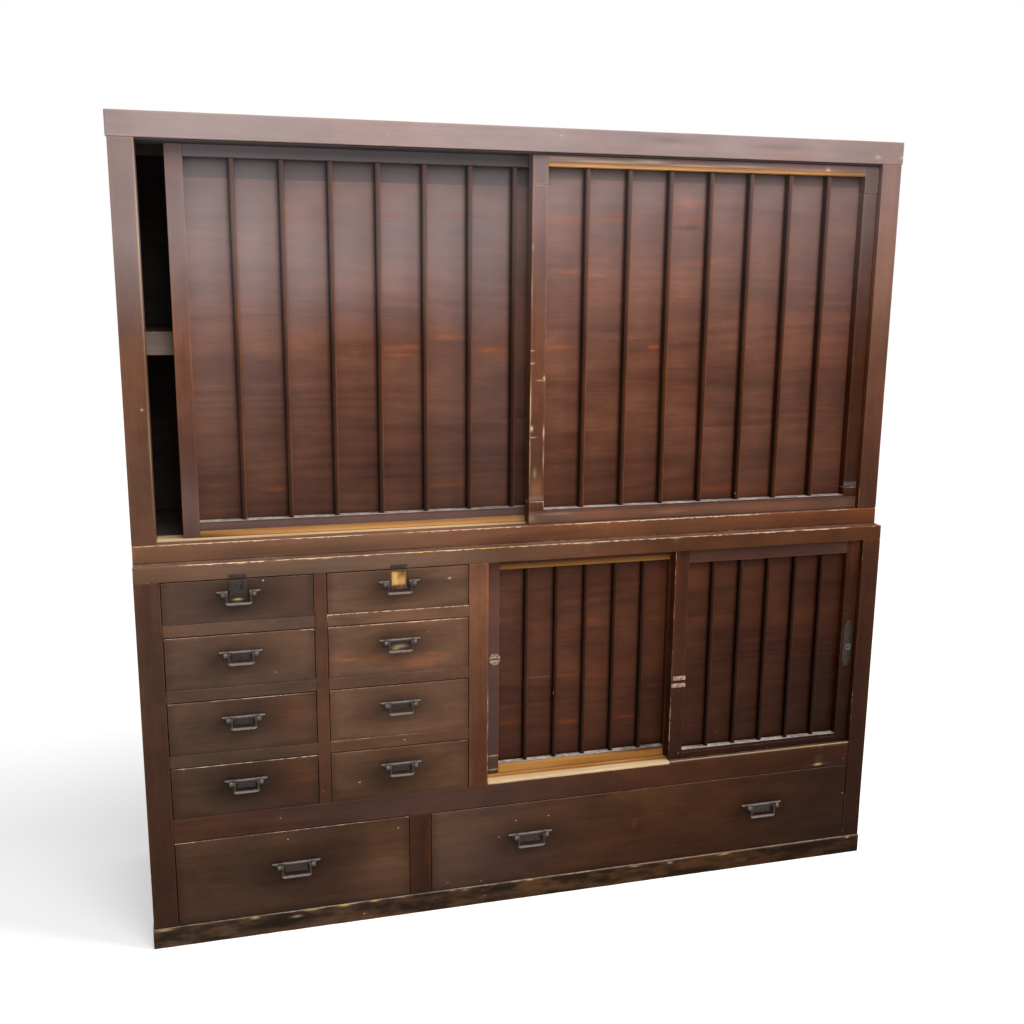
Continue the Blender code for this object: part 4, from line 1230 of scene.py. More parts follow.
@dataclass
class LowerCase:
    """Plinth, sides, back, deck, partitions, dividers, sill and top of the lower chest."""

    track: Track
    rim: float = 0.023
    lid: float = 0.016
    deck_board: float = 0.012
    plinth_rail: float = 0.045
    guide: float = 0.012
    head_groove: float = 0.014
    sill_groove: float = 0.004
    divider_rail: float = 0.030
    partition_board: float = 0.018
    wide_stile_depth: float = 0.045
    gap: float = 0.0003
    post_back: float = field(init=False)
    left_post: float = field(init=False)
    right_post: float = field(init=False)
    side_inner: float = field(init=False)

    def __post_init__(self) -> None:
        """Read the planes that its pieces share from the CAD boxes."""
        sill_low, sill_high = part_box("lower_door_sill")
        self.post_back = sill_high.y
        self.right_post = sill_high.x + self.gap
        self.left_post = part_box("left_drawer_1")[0].x - 0.0015
        self.side_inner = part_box("lower_back")[1].x + self.gap

    def build(self) -> None:
        """Build every piece of the lower carcase."""
        self.plinth()
        self.sides()
        self.back()
        self.deck()
        self.wide_partition()
        self.centre_partition()
        self.door_partition()
        for number in (1, 2, 3):
            self.divider(f"drawer_divider_{number}")
        self.sill()
        self.top()

    def plinth(self) -> None:
        """Front rail, rims, bottom planks and drawer guides."""
        low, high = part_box("plinth_base")
        deck = high.z - self.guide
        piece = Piece("plinth_base", "carcase")
        rail_back = low.y + self.plinth_rail + 0.002
        chips = (Spot(Mark.BARE, -0.458, deck, 0.012, 0.0040, 1.2), Spot(Mark.BARE, -0.388, deck, 0.010, 0.0028, 1.1),
                 Spot(Mark.BARE, -0.660, deck - 0.002, 0.008, 0.0035, 0.8), Spot(Mark.BARE, -0.567, 0.034, 0.010, 0.0025, 0.6),
                 Spot(Mark.BARE, -0.013, deck, 0.008, 0.0030, 0.9), Spot(Mark.WARM, -0.420, 0.012, 0.040, 0.004, 0.9),
                 Spot(Mark.WARM, -0.300, 0.020, 0.030, 0.003, 0.8), Spot(Mark.WARM, 0.220, 0.030, 0.050, 0.003, 0.7))
        piece.add(low, (high.x, rail_back, deck), wood=Wood.PLINTH, radius=0.0028, step=0.014, cross=0.010, wear=0.5,
                  wear_top=0.45, spots=(*chips, *self.mottles(low, high, deck)))
        for left in (low.x, high.x - self.rim - 0.002):
            piece.add((left, rail_back, low.z), (left + self.rim + 0.002, high.y, deck), Axis.Y, Wood.PLINTH)
        inner = (low.x + self.rim + 0.002, high.x - self.rim - 0.002)
        piece.add((inner[0], high.y - self.rim, low.z), (inner[1], high.y, deck), wood=Wood.PLINTH)
        piece.planks((inner[0], rail_back, deck - self.deck_board), (inner[1], high.y - self.rim, deck),
                     Axis.Y, 3, Axis.X, Wood.INNER, tone=-0.2)
        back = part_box("lower_back")[0].y - self.gap
        reach = self.side_inner - self.gap
        for start, end in ((-reach, self.left_post), (self.right_post, reach)):
            piece.add((start, self.post_back + self.gap, deck), (end, back, high.z), Axis.Y, Wood.INNER)
        piece.build()

    @staticmethod
    def mottles(low: Vector, high: Vector, top: float) -> tuple[Spot, ...]:
        """Bare patches along the plinth's front rail.

        Args:
            low: lower corner of the plinth.
            high: upper corner of the plinth.
            top: upper edge of the rail.

        Returns:
            The patches, with a rubbed upper edge on the right half.
        """
        rng = np.random.default_rng(21)
        spots = [Spot(Mark.BARE, high.x - 0.35, top, 0.62, 0.0022, 0.30)]
        for _ in range(12):
            place = rng.uniform(low.x, high.x), top - abs(rng.normal(0.0, 0.003))
            spots.append(Spot(Mark.BARE, *place, rng.uniform(0.004, 0.016), rng.uniform(0.0015, 0.003), rng.uniform(0.4, 0.9)))
        return tuple(spots)

    def sides(self) -> None:
        """A front post and three upright planks on each side."""
        build_side("lower_left_side", -self.left_post, self.post_back, self.side_inner, tone=-0.18)
        build_side("lower_right_side", self.right_post, self.post_back, self.side_inner, tone=-0.06)

    def back(self) -> None:
        """Rough planks across the back."""
        low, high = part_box("lower_back")
        piece = Piece("lower_back", "carcase")
        piece.planks(low, high, Axis.Z, 5, Axis.X, Wood.INNER, tone=-0.15)
        piece.build()

    def deck(self) -> None:
        """The rail over the wide drawers, and the boards and guide behind it."""
        low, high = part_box("mid_deck")
        top = high.z - self.guide
        behind = self.post_back + self.gap
        piece = Piece("mid_deck", "carcase")
        chip = Spot(Mark.BARE, 0.748, low.z + 0.009, 0.009, 0.0024, 1.0)
        sheen_film = Spot(Mark.HAZE, -0.220, low.z + 0.030, 0.34, 0.06, 0.030)
        piece.add((self.left_post + self.gap, low.y, low.z), (self.right_post - self.gap, behind, top),
                  radius=0.0016, step=0.030, tone=0.15, wear=0.3, spots=(chip, sheen_film))
        piece.planks((low.x, behind, top - self.deck_board), (high.x, high.y, top), Axis.Y, 2, Axis.X, Wood.INNER)
        piece.add((low.x, behind, top), (self.left_post, high.y, high.z), Axis.Y, Wood.INNER)
        piece.build()

    def wide_partition(self) -> None:
        """The stile, wall and guide between the wide drawers."""
        low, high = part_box("wide_drawer_partition")
        piece = Piece("wide_drawer_partition", "carcase")
        stile_back = low.y + self.wide_stile_depth - 0.001
        piece.add(low, (high.x, stile_back, high.z), Axis.Z, radius=0.0016, tone=-0.15)
        middle = (low.x + high.x) / 2
        half = self.partition_board / 2
        piece.add((middle - half, stile_back, low.z + self.guide), (middle + half, high.y, high.z), Axis.Y, Wood.INNER)
        piece.add((low.x, stile_back, low.z), (high.x, high.y, low.z + self.guide), Axis.Y, Wood.INNER)
        piece.build()

    def divider_tops(self) -> list[float]:
        """Upper faces of the three dividers, from the lowest up."""
        return [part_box(f"drawer_divider_{number}")[1].z - self.guide for number in (1, 2, 3)]

    def lap_line(self) -> float:
        """Depth where the dividers lap over the centre partition."""
        low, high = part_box("lower_left_side")
        return (low.y + high.y) / 2

    def centre_partition(self) -> None:
        """The middle stile and wall, slotted behind for the dividers."""
        low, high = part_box("centre_partition")
        piece = Piece("centre_partition", "carcase")
        lap = self.lap_line() - self.gap
        piece.add(low, (high.x, lap, high.z), Axis.Z, radius=0.0016, step=0.030, tone=0.05)
        bottom = low.z
        for top in self.divider_tops():
            piece.add((low.x, lap, bottom), (high.x, high.y, top - self.deck_board - self.gap), Axis.Z, Wood.INNER)
            bottom = top + self.gap
        piece.add((low.x, lap, bottom), (high.x, high.y, high.z), Axis.Z, Wood.INNER)
        piece.build()

    def door_partition(self) -> None:
        """The stile beside the small doors and the wall behind it."""
        low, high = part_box("door_partition")
        piece = Piece("door_partition", "carcase")
        piece.add(low, (high.x, self.post_back, high.z), Axis.Z, radius=0.0018, step=0.030, tone=0.95,
                  wear_right=0.9)
        piece.add((low.x, self.post_back, low.z), (low.x + self.partition_board, high.y, high.z), Axis.Y, Wood.INNER)
        piece.build()

    def divider(self, node: str) -> None:
        """Front rails, boards and guide of one divider.

        Args:
            node: its CAD node.
        """
        low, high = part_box(node)
        centre_low, centre_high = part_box("centre_partition")
        top = high.z - self.guide
        piece = Piece(node, "carcase")
        rail_back = low.y + self.divider_rail
        lap = self.lap_line()
        left, right = self.left_post + self.gap, high.x
        board_z = (top - self.deck_board, top)
        worn_right = 1.3 if node.endswith("3") else 0.5
        for start, end, worn, tone in ((left, centre_low.x - self.gap, 0.3, -0.12),
                                       (centre_high.x + self.gap, right, worn_right, 0.32)):
            piece.add((start, low.y, low.z), (end, rail_back, top), wood=Wood.DRAWER, radius=0.0015, step=0.025, wear=0.3,
                      wear_top=worn, tone=tone)
            piece.add((start, rail_back, board_z[0]), (end, lap, board_z[1]), wood=Wood.INNER)
        behind = self.post_back + self.gap
        piece.add((low.x, lap, board_z[0]), (high.x, high.y, board_z[1]), wood=Wood.INNER)
        piece.add((low.x, behind, board_z[0]), (left, lap, board_z[1]), Axis.Y, Wood.INNER)
        piece.add((low.x, behind, top), (self.left_post, high.y, high.z), Axis.Y, Wood.INNER)
        piece.build()

    def sill(self) -> None:
        """The pale grooved strip under the small doors."""
        low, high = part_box("lower_door_sill")
        piece = Piece("lower_door_sill", "carcase")
        ridges, grooves = bands(low.y, high.y, self.track.grooves())
        front = ridges[0]
        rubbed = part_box("lower_right_door_lattice")[0].x
        piece.add((low.x, front[0], low.z), (rubbed, front[1], high.z), wood=Wood.SILL, step=0.012, radius=0.0024,
                  wear=1.0)
        pale = Spot(Mark.BARE, (rubbed + high.x) / 2, high.z, 9.0, 0.0024, 0.50)
        piece.add((rubbed, front[0], low.z), (high.x, front[1], high.z), step=0.012, radius=0.0016, wear=0.4,
                  wear_top=0.8, tone=-0.1, spots=(pale,))
        for depth in ridges[1:]:
            piece.add((low.x, depth[0], low.z), (high.x, depth[1], high.z), wood=Wood.HONEY, step=0.02)
        for depth in grooves:
            piece.add((low.x, depth[0], low.z), (high.x, depth[1], high.z - self.sill_groove), wood=Wood.HONEY)
        piece.build()

    def top(self) -> None:
        """The front rail with its door grooves, the rims and the top planks."""
        low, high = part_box("lower_top")
        piece = Piece("lower_top", "carcase")
        ridges, grooves = bands(low.y, self.post_back, self.track.grooves())
        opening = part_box("lower_door_sill")
        door_x = (opening[0].x - self.gap, opening[1].x + self.gap)
        front = ridges[0]
        chips = tuple(Spot(Mark.BARE, x, high.z - 0.001, reach, 0.0024)
                      for x, reach in ((-0.66, 0.012), (-0.48, 0.010), (0.115, 0.012), (0.333, 0.010)))
        faded = Spot(Mark.BARE, -0.42, (low.z + high.z) / 2, 0.42, 0.060, 0.12)
        piece.add((low.x, front[0], low.z), (high.x, front[1], high.z), wear=0.5, wear_top=2.0, wear_foot=0.4,
                  radius=0.0020, step=0.016, spots=(*chips, faded))
        for depth in ridges[1:]:
            piece.add((door_x[0], depth[0], low.z), (door_x[1], depth[1], high.z))
        for depth in grooves:
            piece.add((door_x[0], depth[0], low.z + self.head_groove), (door_x[1], depth[1], high.z))
        for start, end in ((low.x, door_x[0]), (door_x[1], high.x)):
            piece.add((start, front[1], low.z), (end, self.post_back, high.z))
        for left in (low.x, high.x - self.rim):
            piece.add((left, self.post_back, low.z), (left + self.rim, high.y, high.z), Axis.Y)
        inner = (low.x + self.rim, high.x - self.rim)
        piece.add((inner[0], high.y - self.rim, low.z), (inner[1], high.y, high.z))
        piece.planks((inner[0], self.post_back, high.z - self.lid), (inner[1], high.y - self.rim, high.z),
                     Axis.Y, 2, Axis.X, Wood.INNER)
        piece.build()


@dataclass
class SlidingDoor:
    """A lattice door: stiles, rails, runner, slats and tongues, with planks behind the slats."""

    name: str
    slats: int
    top_rail: float
    bottom_rail: float
    lower_tongue: float = 0.0047
    upper_tongue: float = 0.011
    stile: float = 0.035
    runner: float = 0.014
    foot_rail: float = 0.0
    runner_tone: float = 0.0
    slat_width: float = 0.014
    slat_shrink: float = 0.0038
    slat_setback: float = 0.006
    slat_round: float = 0.0018
    tongue: float = 0.010
    tongue_inset: float = 0.004
    worn_runner: bool = False
    worn_rail: bool = False
    worn_head: float = 0.0
    head_wear: float = 0.3
    foot_shade: float = 0.7
    eased_stiles: bool = False
    outer_wear: float = 0.4
    tone: float = 0.0
    left_tone: float = 0.0
    right_tone: float = 0.0
    head_tone: float = 0.0
    worn_tone: float = -0.15
    seams: tuple[float, ...] = ()
    top_plank_shade: float = 0.0
    head_spots: tuple[Spot, ...] = ()
    worn_spots: tuple[Spot, ...] = ()
    foot_spots: tuple[Spot, ...] = ()
    stile_spots: tuple[Spot, ...] = ()
    field_spots: tuple[Spot, ...] = ()
    field_shade: tuple[Spot, ...] = ()

    def build(self) -> None:
        """Build the lattice and the panel."""
        low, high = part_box(f"{self.name}_lattice")
        bottom, top = low.z + self.lower_tongue, high.z - self.upper_tongue
        bay_x = (low.x + self.stile, high.x - self.stile)
        bay_z = (bottom + self.bottom_rail, top - self.top_rail)
        self.lattice(bay_x, bay_z, (bottom, top))
        self.panel(self.slat_places(bay_x), bay_z)

    def slat_places(self, bay_x: Span) -> tuple[Span, ...]:
        """Left and right of each slat.

        Args:
            bay_x: inner edges of the stiles.

        Returns:
            One pair for each slat, from the left.
        """
        bay = (bay_x[1] - bay_x[0] - self.slat_width * self.slats) / (self.slats + 1)
        lefts = [bay_x[0] + bay + (bay + self.slat_width) * number for number in range(self.slats)]
        return tuple((left + self.slat_shrink, left + self.slat_width) for left in lefts)

    def lattice(self, bay_x: Span, bay_z: Span, body_z: Span) -> None:
        """Stiles, rails, runner, tongues and slats.

        Args:
            bay_x: inner edges of the stiles.
            bay_z: inner edges of the rails.
            body_z: bottom and top of the stiles.
        """
        low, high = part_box(f"{self.name}_lattice")
        face, rear = low.y, high.y
        rail_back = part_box(f"{self.name}_panel")[0].y - 0.0003
        piece = Piece(f"{self.name}_lattice", self.name)
        stile_z = (body_z[0] + self.foot_rail, body_z[1])
        self.add_stile(piece, (low.x, bay_x[0]), (face, rear), stile_z, self.tone + self.left_tone)
        self.add_stile(piece, (bay_x[1], high.x), (face, rear), stile_z, self.tone + self.right_tone)

        seam = bay_z[1] + self.worn_head
        piece.add((bay_x[0], face, seam), (bay_x[1], rail_back, body_z[1]), wood=Wood.LATTICE, step=0.02,
                  cross=0.006, tone=self.tone + self.head_tone, wear=0.3, wear_foot=self.head_wear,
                  spots=self.head_spots)
        if self.worn_head:
            piece.add((bay_x[0], face, bay_z[1]), (bay_x[1], rail_back, seam), wood=Wood.HONEY, step=0.02, cross=0.004,
                      tone=self.worn_tone, wear=0.1, wear_foot=0.4, shade_top=0.8, shade_reach=self.worn_head * 0.9,
                      spots=self.worn_spots)

        runner_top = body_z[0] + (self.foot_rail or self.runner)
        runner_x = (low.x, high.x) if self.foot_rail else bay_x
        piece.add((runner_x[0], face, body_z[0]), (runner_x[1], rear, runner_top),
                  wood=Wood.HONEY if self.worn_runner else Wood.LATTICE, step=0.02, cross=0.006,
                  tone=self.tone + self.runner_tone, wear=0.2,
                  shade_top=0.0 if self.worn_rail else 0.75, shade_reach=0.004 if self.foot_rail else self.runner * 0.8,
                  spots=self.foot_spots, radius=0.0008)
        piece.add((bay_x[0], face, runner_top), (bay_x[1], rail_back, bay_z[0]),
                  wood=Wood.HONEY if self.worn_rail else Wood.LATTICE, step=0.02, cross=0.006, tone=self.tone, wear=0.1,
                  shade_top=0.0 if self.worn_rail else self.foot_shade, shade_reach=0.006, spots=self.foot_spots,
                  radius=0.0008)
        if self.worn_rail:
            piece.add((bay_x[0], face + 0.001, bay_z[0]), (bay_x[1], rail_back, bay_z[0] + 0.0012), wood=Wood.LATTICE,
                      radius=0.0005)

        tongue_y = (rear - self.tongue_inset - self.tongue, rear - self.tongue_inset)
        for z in ((low.z, body_z[0]), (body_z[1], high.z)):
            piece.add((low.x, tongue_y[0], z[0]), (high.x, tongue_y[1], z[1]), wood=Wood.SILL)
        # Each slat: its left part darkened with painted shade, and a warm line on its right arris, part worn lacquer
        # and part painted highlight.
        for left, right in self.slat_places(bay_x):
            piece.add((left, face + self.slat_setback, bay_z[0]), (right, rail_back, bay_z[1]), Axis.Z, Wood.LATTICE,
                      radius=self.slat_round, step=0.04, tone=self.tone - 0.34, wear=0.10,
                      spots=(Spot(Mark.STAIN, left, bay_z[0], (right - left) * 0.95, 9.0, 0.82),
                             Spot(Mark.WARM, right, bay_z[0], 0.0026, 9.0, 1.6), *self.field_shade))
        piece.build()

    def add_stile(self, piece: Piece, x: Span, y: Span, z: Span, tone: float) -> None:
        """Add one stile, with its face eased back between two end blocks where the door has that.

        Args:
            piece: the lattice.
            x: left and right.
            y: front and back.
            z: bottom and top.
            tone: shade of the stile.
        """
        outer = x[0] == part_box(piece.node)[0].x
        habits = {"wood": Wood.LATTICE, "step": 0.02, "cross": 0.012, "tone": tone,
                  "wear_left": self.outer_wear if outer else 0.2, "spots": (*self.stile_spots, *self.field_shade)}
        if not self.eased_stiles:
            piece.add((x[0], y[0], z[0]), (x[1], y[1], z[1]), Axis.Z, radius=0.0016, wear=0.3, **habits)
            return
        ends = (z[0] + 0.024, z[1] - 0.062)
        for low, high, back in ((z[0], ends[0], 0.0), (ends[0], ends[1], 0.0014), (ends[1], z[1], 0.0)):
            piece.add((x[0], y[0] + back, low), (x[1], y[1], high), Axis.Z, radius=0.0016, wear=0.6,
                      wear_top=1.6 if low == z[0] else 0.3, **habits)

    def panel(self, slats: tuple[Span, ...], bay_z: Span) -> None:
        """Planks across the back of the door, with painted shadow beside the slats, under the top rail and over the
        bottom rail.

        Args:
            slats: left and right of each slat.
            bay_z: inner edges of the rails.
        """
        low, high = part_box(f"{self.name}_panel")
        piece = Piece(f"{self.name}_panel", self.name)
        rng = np.random.default_rng(len(self.name) + self.slats)
        middle = (low.x + high.x) / 2
        # Painted shadow under the top rail and over the bottom rail.
        grime_and_shade = (Spot(Mark.STAIN, middle, bay_z[1], 9.0, 0.005, 0.9), Spot(Mark.STAIN, middle, bay_z[1], 9.0, 0.022, 0.35),
                 Spot(Mark.STAIN, middle, bay_z[0], 9.0, 0.008, 0.5))
        edges = (low.z, *self.seams, high.z)
        for foot, top in zip(edges, edges[1:]):
            # The top plank takes top_plank_shade: painted shade under the top rail.
            tone = self.top_plank_shade if top == high.z else rng.uniform(-0.06, 0.06)
            piece.add((low.x, low.y, foot), (high.x, high.y, top), wood=Wood.PANEL, radius=0.0004, step=0.05,
                      cross=0.012, tone=self.tone + tone, wear=0.2, stripes=slats,
                      spots=(*grime_and_shade, *self.field_spots, *self.field_shade))
        piece.build()


@dataclass
class Drawer:
    """A drawer: a lacquered front board on a plain tray."""

    name: str
    handles: tuple[str, ...]
    front: float = 0.020
    wall: float = 0.009
    bottom: float = 0.006
    tray_inset: float = 0.0015
    tray_drop: float = 0.010
    tone: float = 0.0
    wear: float = 0.3
    wear_top: float = 1.2
    spots: tuple[Spot, ...] = ()
    recess: Recess | None = None

    def build(self) -> None:
        """Build the front with a dark patch under each handle, hand stain and painted shade, darker bottom and side
        edges, and the tray behind it.
        """
        low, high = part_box(self.name)
        piece = Piece(self.name, self.name)
        inside = low.y + self.front
        spots = list(self.spots)
        for handle in self.handles:
            plate_low, plate_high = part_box(f"{handle}_plate")
            x = (plate_low.x + plate_high.x) / 2
            reach = (plate_high.x - plate_low.x) * 1.0
            # Dark patch under the handle: hand stain and painted shade.
            spots.append(Spot(Mark.STAIN, x, plate_high.z - 0.016, reach, 0.044, 0.92))
        middle = (low.x + high.x) / 2, (low.z + high.z) / 2
        # Darker along the bottom and the two side edges.
        for x, z, reach_x, reach_z in ((middle[0], low.z, 9.0, 0.010), (low.x, middle[1], 0.014, 9.0),
                                       (high.x, middle[1], 0.012, 9.0)):
            spots.append(Spot(Mark.STAIN, x, z, reach_x, reach_z, 0.42))
        piece.add(low, (high.x, inside, high.z), wood=Wood.DRAWER, radius=0.0018, step=0.016, cross=0.012,
                  tone=self.tone, wear=self.wear, wear_top=self.wear_top, spots=tuple(spots), recess=self.recess)
        if self.recess:
            self.bare_seat(piece, low.y)
        left, right = low.x + self.tray_inset, high.x - self.tray_inset
        rim = high.z - self.tray_drop
        for start in (left, right - self.wall):
            piece.add((start, inside, low.z), (start + self.wall, high.y, rim), Axis.Y, Wood.INNER)
        inner = (left + self.wall, right - self.wall)
        piece.add((inner[0], high.y - self.wall, low.z), (inner[1], high.y, rim), wood=Wood.INNER)
        piece.planks((inner[0], inside, low.z), (inner[1], high.y - self.wall, low.z + self.bottom),
                     Axis.Y, 2, Axis.X, Wood.INNER)
        piece.build()

    def bare_seat(self, piece: Piece, face: float) -> None:
        """Raw wood at the bottom of the chiselled seat, darker in its upper corner.

        Args:
            piece: the drawer.
            face: plane of its front.
        """
        (left, right), (foot, top) = self.recess.x, self.recess.z
        wall = self.recess.wall * 1.5
        seat_marks = (Spot(Mark.STAIN, right - 0.008, top - 0.004, 0.010, 0.012, 0.9),
                Spot(Mark.STAIN, left + 0.016, foot + 0.020, 0.004, 0.008, 0.5),
                Spot(Mark.BARE, left + 0.009, foot + 0.018, 0.004, 0.012, 0.8),
                Spot(Mark.BARE, left + 0.012, foot + 0.008, 0.008, 0.006, 1.0),
                Spot(Mark.BARE, right - 0.008, foot + 0.009, 0.005, 0.007, 1.0))
        piece.add((left + wall, face + self.recess.depth * 0.6, foot + wall),
                  (right - wall, face + self.recess.depth + 0.003, top - wall), Axis.Z, Wood.HONEY, step=0.004,
                  cross=0.004, radius=0.0006, tone=0.35, wear=0.2, spots=seat_marks)


class Forge:
    """Gathers the closed shells of one metal piece."""

    def __init__(self) -> None:
        """Start with an empty mesh and no polish."""
        self.bm = bmesh.new()
        self.polish: list[float] = []

    def slab(self, outline: list[Span], y: Span, bevel: float = 0.0006, rubbed: float = 0.0,
             sheen: float = 0.0) -> None:
        """Add a front-view outline with thickness and eased edges.

        Args:
            outline: x and z of its corners, in order.
            y: front and back.
            bevel: width of the eased edges.
            rubbed: polish along its upper side, a painted highlight where light catches the top edge.
            sheen: polish all over.
        """
        shell = bmesh.new()
        face = shell.faces.new([shell.verts.new((x, y[1], z)) for x, z in outline])
        grown = bmesh.ops.extrude_face_region(shell, geom=[face])["geom"]
        moved = [item for item in grown if isinstance(item, bmesh.types.BMVert)]
        bmesh.ops.translate(shell, verts=moved, vec=(0.0, y[0] - y[1], 0.0))
        bmesh.ops.recalc_face_normals(shell, faces=shell.faces)
        bmesh.ops.bevel(shell, geom=list(shell.edges), offset=bevel, offset_type="OFFSET", segments=2,
                        profile=0.5, affect="EDGES", clamp_overlap=True)
        top = max(z for _, z in outline)
        self.take(shell, [max(sheen, rubbed * float(vertex.co.z > top - 0.0022)) for vertex in shell.verts])

    def lathe(self, profile: list[Span], centre: Point, axis: Axis, sides: int = 20, ring: bool = False) -> None:
        """Add a turned shape.

        Args:
            profile: distance along the axis and radius, in order.
            centre: start of the axis.
            axis: direction of the axis.
            sides: number of sides.
            ring: whether the profile closes on itself, as for an eye.
        """
        shell = bmesh.new()
        along = axis.value
        others = [number for number in range(3) if number != along]
        rows = []
        for reach, radius in profile:
            row = []
            for number in range(sides if radius > 1e-7 else 1):
                angle = 2 * math.pi * number / sides
                place = [0.0, 0.0, 0.0]
                place[along] = centre[along] + reach
                place[others[0]] = centre[others[0]] + radius * math.cos(angle)
                place[others[1]] = centre[others[1]] + radius * math.sin(angle)
                row.append(shell.verts.new(place))
            rows.append(row)
        pairs = list(zip(rows, rows[1:] + rows[:1])) if ring else list(zip(rows, rows[1:]))
        for first, second in pairs:
            for number in range(sides):
                after = (number + 1) % sides
                corners = [first[number % len(first)], first[after % len(first)],
                           second[after % len(second)], second[number % len(second)]]
                shell.faces.new(list(dict.fromkeys(corners)))
        if not ring:
            for row in (rows[0], rows[-1]):
                if len(row) > 1:
                    shell.faces.new(row)
        self.take(shell)

    def sweep(self, path: list[Span], y: float, size: Span, soft: float, rubbed: float = 0.0) -> None:
        """Add a rounded bar bent along a path in the front plane.

        Args:
            path: x and z of its middle line.
            y: depth of its middle line.
            size: width and depth of the bar.
            soft: rounding of its arrises.
            rubbed: polish of its lowest stretch, worn by hands and partly a painted highlight. The rest is dull.
        """
        shell = bmesh.new()
        half, deep = size[0] / 2, size[1] / 2
        section = []
        for quarter in range(4):
            turn = math.pi / 2 * quarter
            for step in range(3):
                angle = turn + math.pi / 4 * step
                cx = (half - soft) * (1 if quarter in (0, 3) else -1)
                cy = (deep - soft) * (1 if quarter in (0, 1) else -1)
                section.append((cx + soft * math.cos(angle), cy + soft * math.sin(angle)))
        rows = []
        line = np.array(path)
        for number in range(len(line)):
            ahead = line[min(number + 1, len(line) - 1)] - line[number]
            behind = line[number] - line[max(number - 1, 0)]
            unit_ahead = ahead / max(np.linalg.norm(ahead), 1e-9)
            unit_behind = behind / max(np.linalg.norm(behind), 1e-9)
            tangent = unit_ahead + unit_behind
            tangent /= np.linalg.norm(tangent)
            lean = max(0.5, float(tangent @ (unit_ahead if np.linalg.norm(ahead) > 0 else unit_behind)))
            normal = np.array((-tangent[1], tangent[0])) / lean
            row = [shell.verts.new((line[number][0] + normal[0] * a, y + b, line[number][1] + normal[1] * a))
                   for a, b in section]
            rows.append(row)
        count = len(section)
        for first, second in zip(rows, rows[1:]):
            for number in range(count):
                after = (number + 1) % count
                shell.faces.new((first[number], first[after], second[after], second[number]))
        shell.faces.new(rows[0])
        shell.faces.new(rows[-1])
        foot = float(line[:, 1].min())
        dull = -0.13
        self.take(shell, [rubbed if vertex.co.z < foot + half + 0.0005 else dull for vertex in shell.verts])

    def nail(self, x: float, y: float, z: float, radius: float = 0.0018) -> None:
        """Add a domed nail head that stands on a front face."""
        dome = [(-radius * 0.62 * math.cos(angle), radius * math.sin(angle))
                for angle in np.linspace(0.0, math.pi / 2, 6)]
        self.lathe(dome + [(0.0004, radius)], (x, y, z), Axis.Y, 16)

    def take(self, shell: bmesh.types.BMesh, polish: list[float] | None = None) -> None:
        """Move a finished shell into the piece.

        Args:
            shell: closed shell, freed afterwards.
            polish: how bright each of its vertices is rubbed.
        """
        self.polish += polish or [0.0] * len(shell.verts)
        bmesh.ops.recalc_face_normals(shell, faces=shell.faces)
        holder = bpy.data.meshes.new("shell")
        shell.to_mesh(holder)
        shell.free()
        self.bm.from_mesh(holder)
        bpy.data.meshes.remove(holder)

    def build(self, name: str, body: str, metal: Metal, *nodes: str) -> bpy.types.Object:
        """Make the object, with its sharp places marked for polish.

        Args:
            name: object name.
            body: body that it moves with.
            metal: its finish.
            nodes: CAD nodes that it stands for.

        Returns:
            The object.
        """
        mesh = bpy.data.meshes.new(name)
        sharp = [max((edge.calc_face_angle(0.0) for edge in vertex.link_edges), default=0.0)
                 for vertex in self.bm.verts]
        self.bm.to_mesh(mesh)
        self.bm.free()
        polish = 0.30 * np.clip((np.array(sharp) - 0.45) / 0.6, 0.0, 1.0) + np.array(self.polish)
        polish = np.clip(polish, 0.0, 1.0).astype(np.float32)
        mesh.attributes.new("edge", "FLOAT", "POINT").data.foreach_set("value", polish)
        mesh.materials.append(SHOP.get(metal))
        mesh.shade_smooth()
        mesh.set_sharp_from_angle(angle=math.radians(38))
        return install(bpy.data.objects.new(name, mesh), body, *nodes)


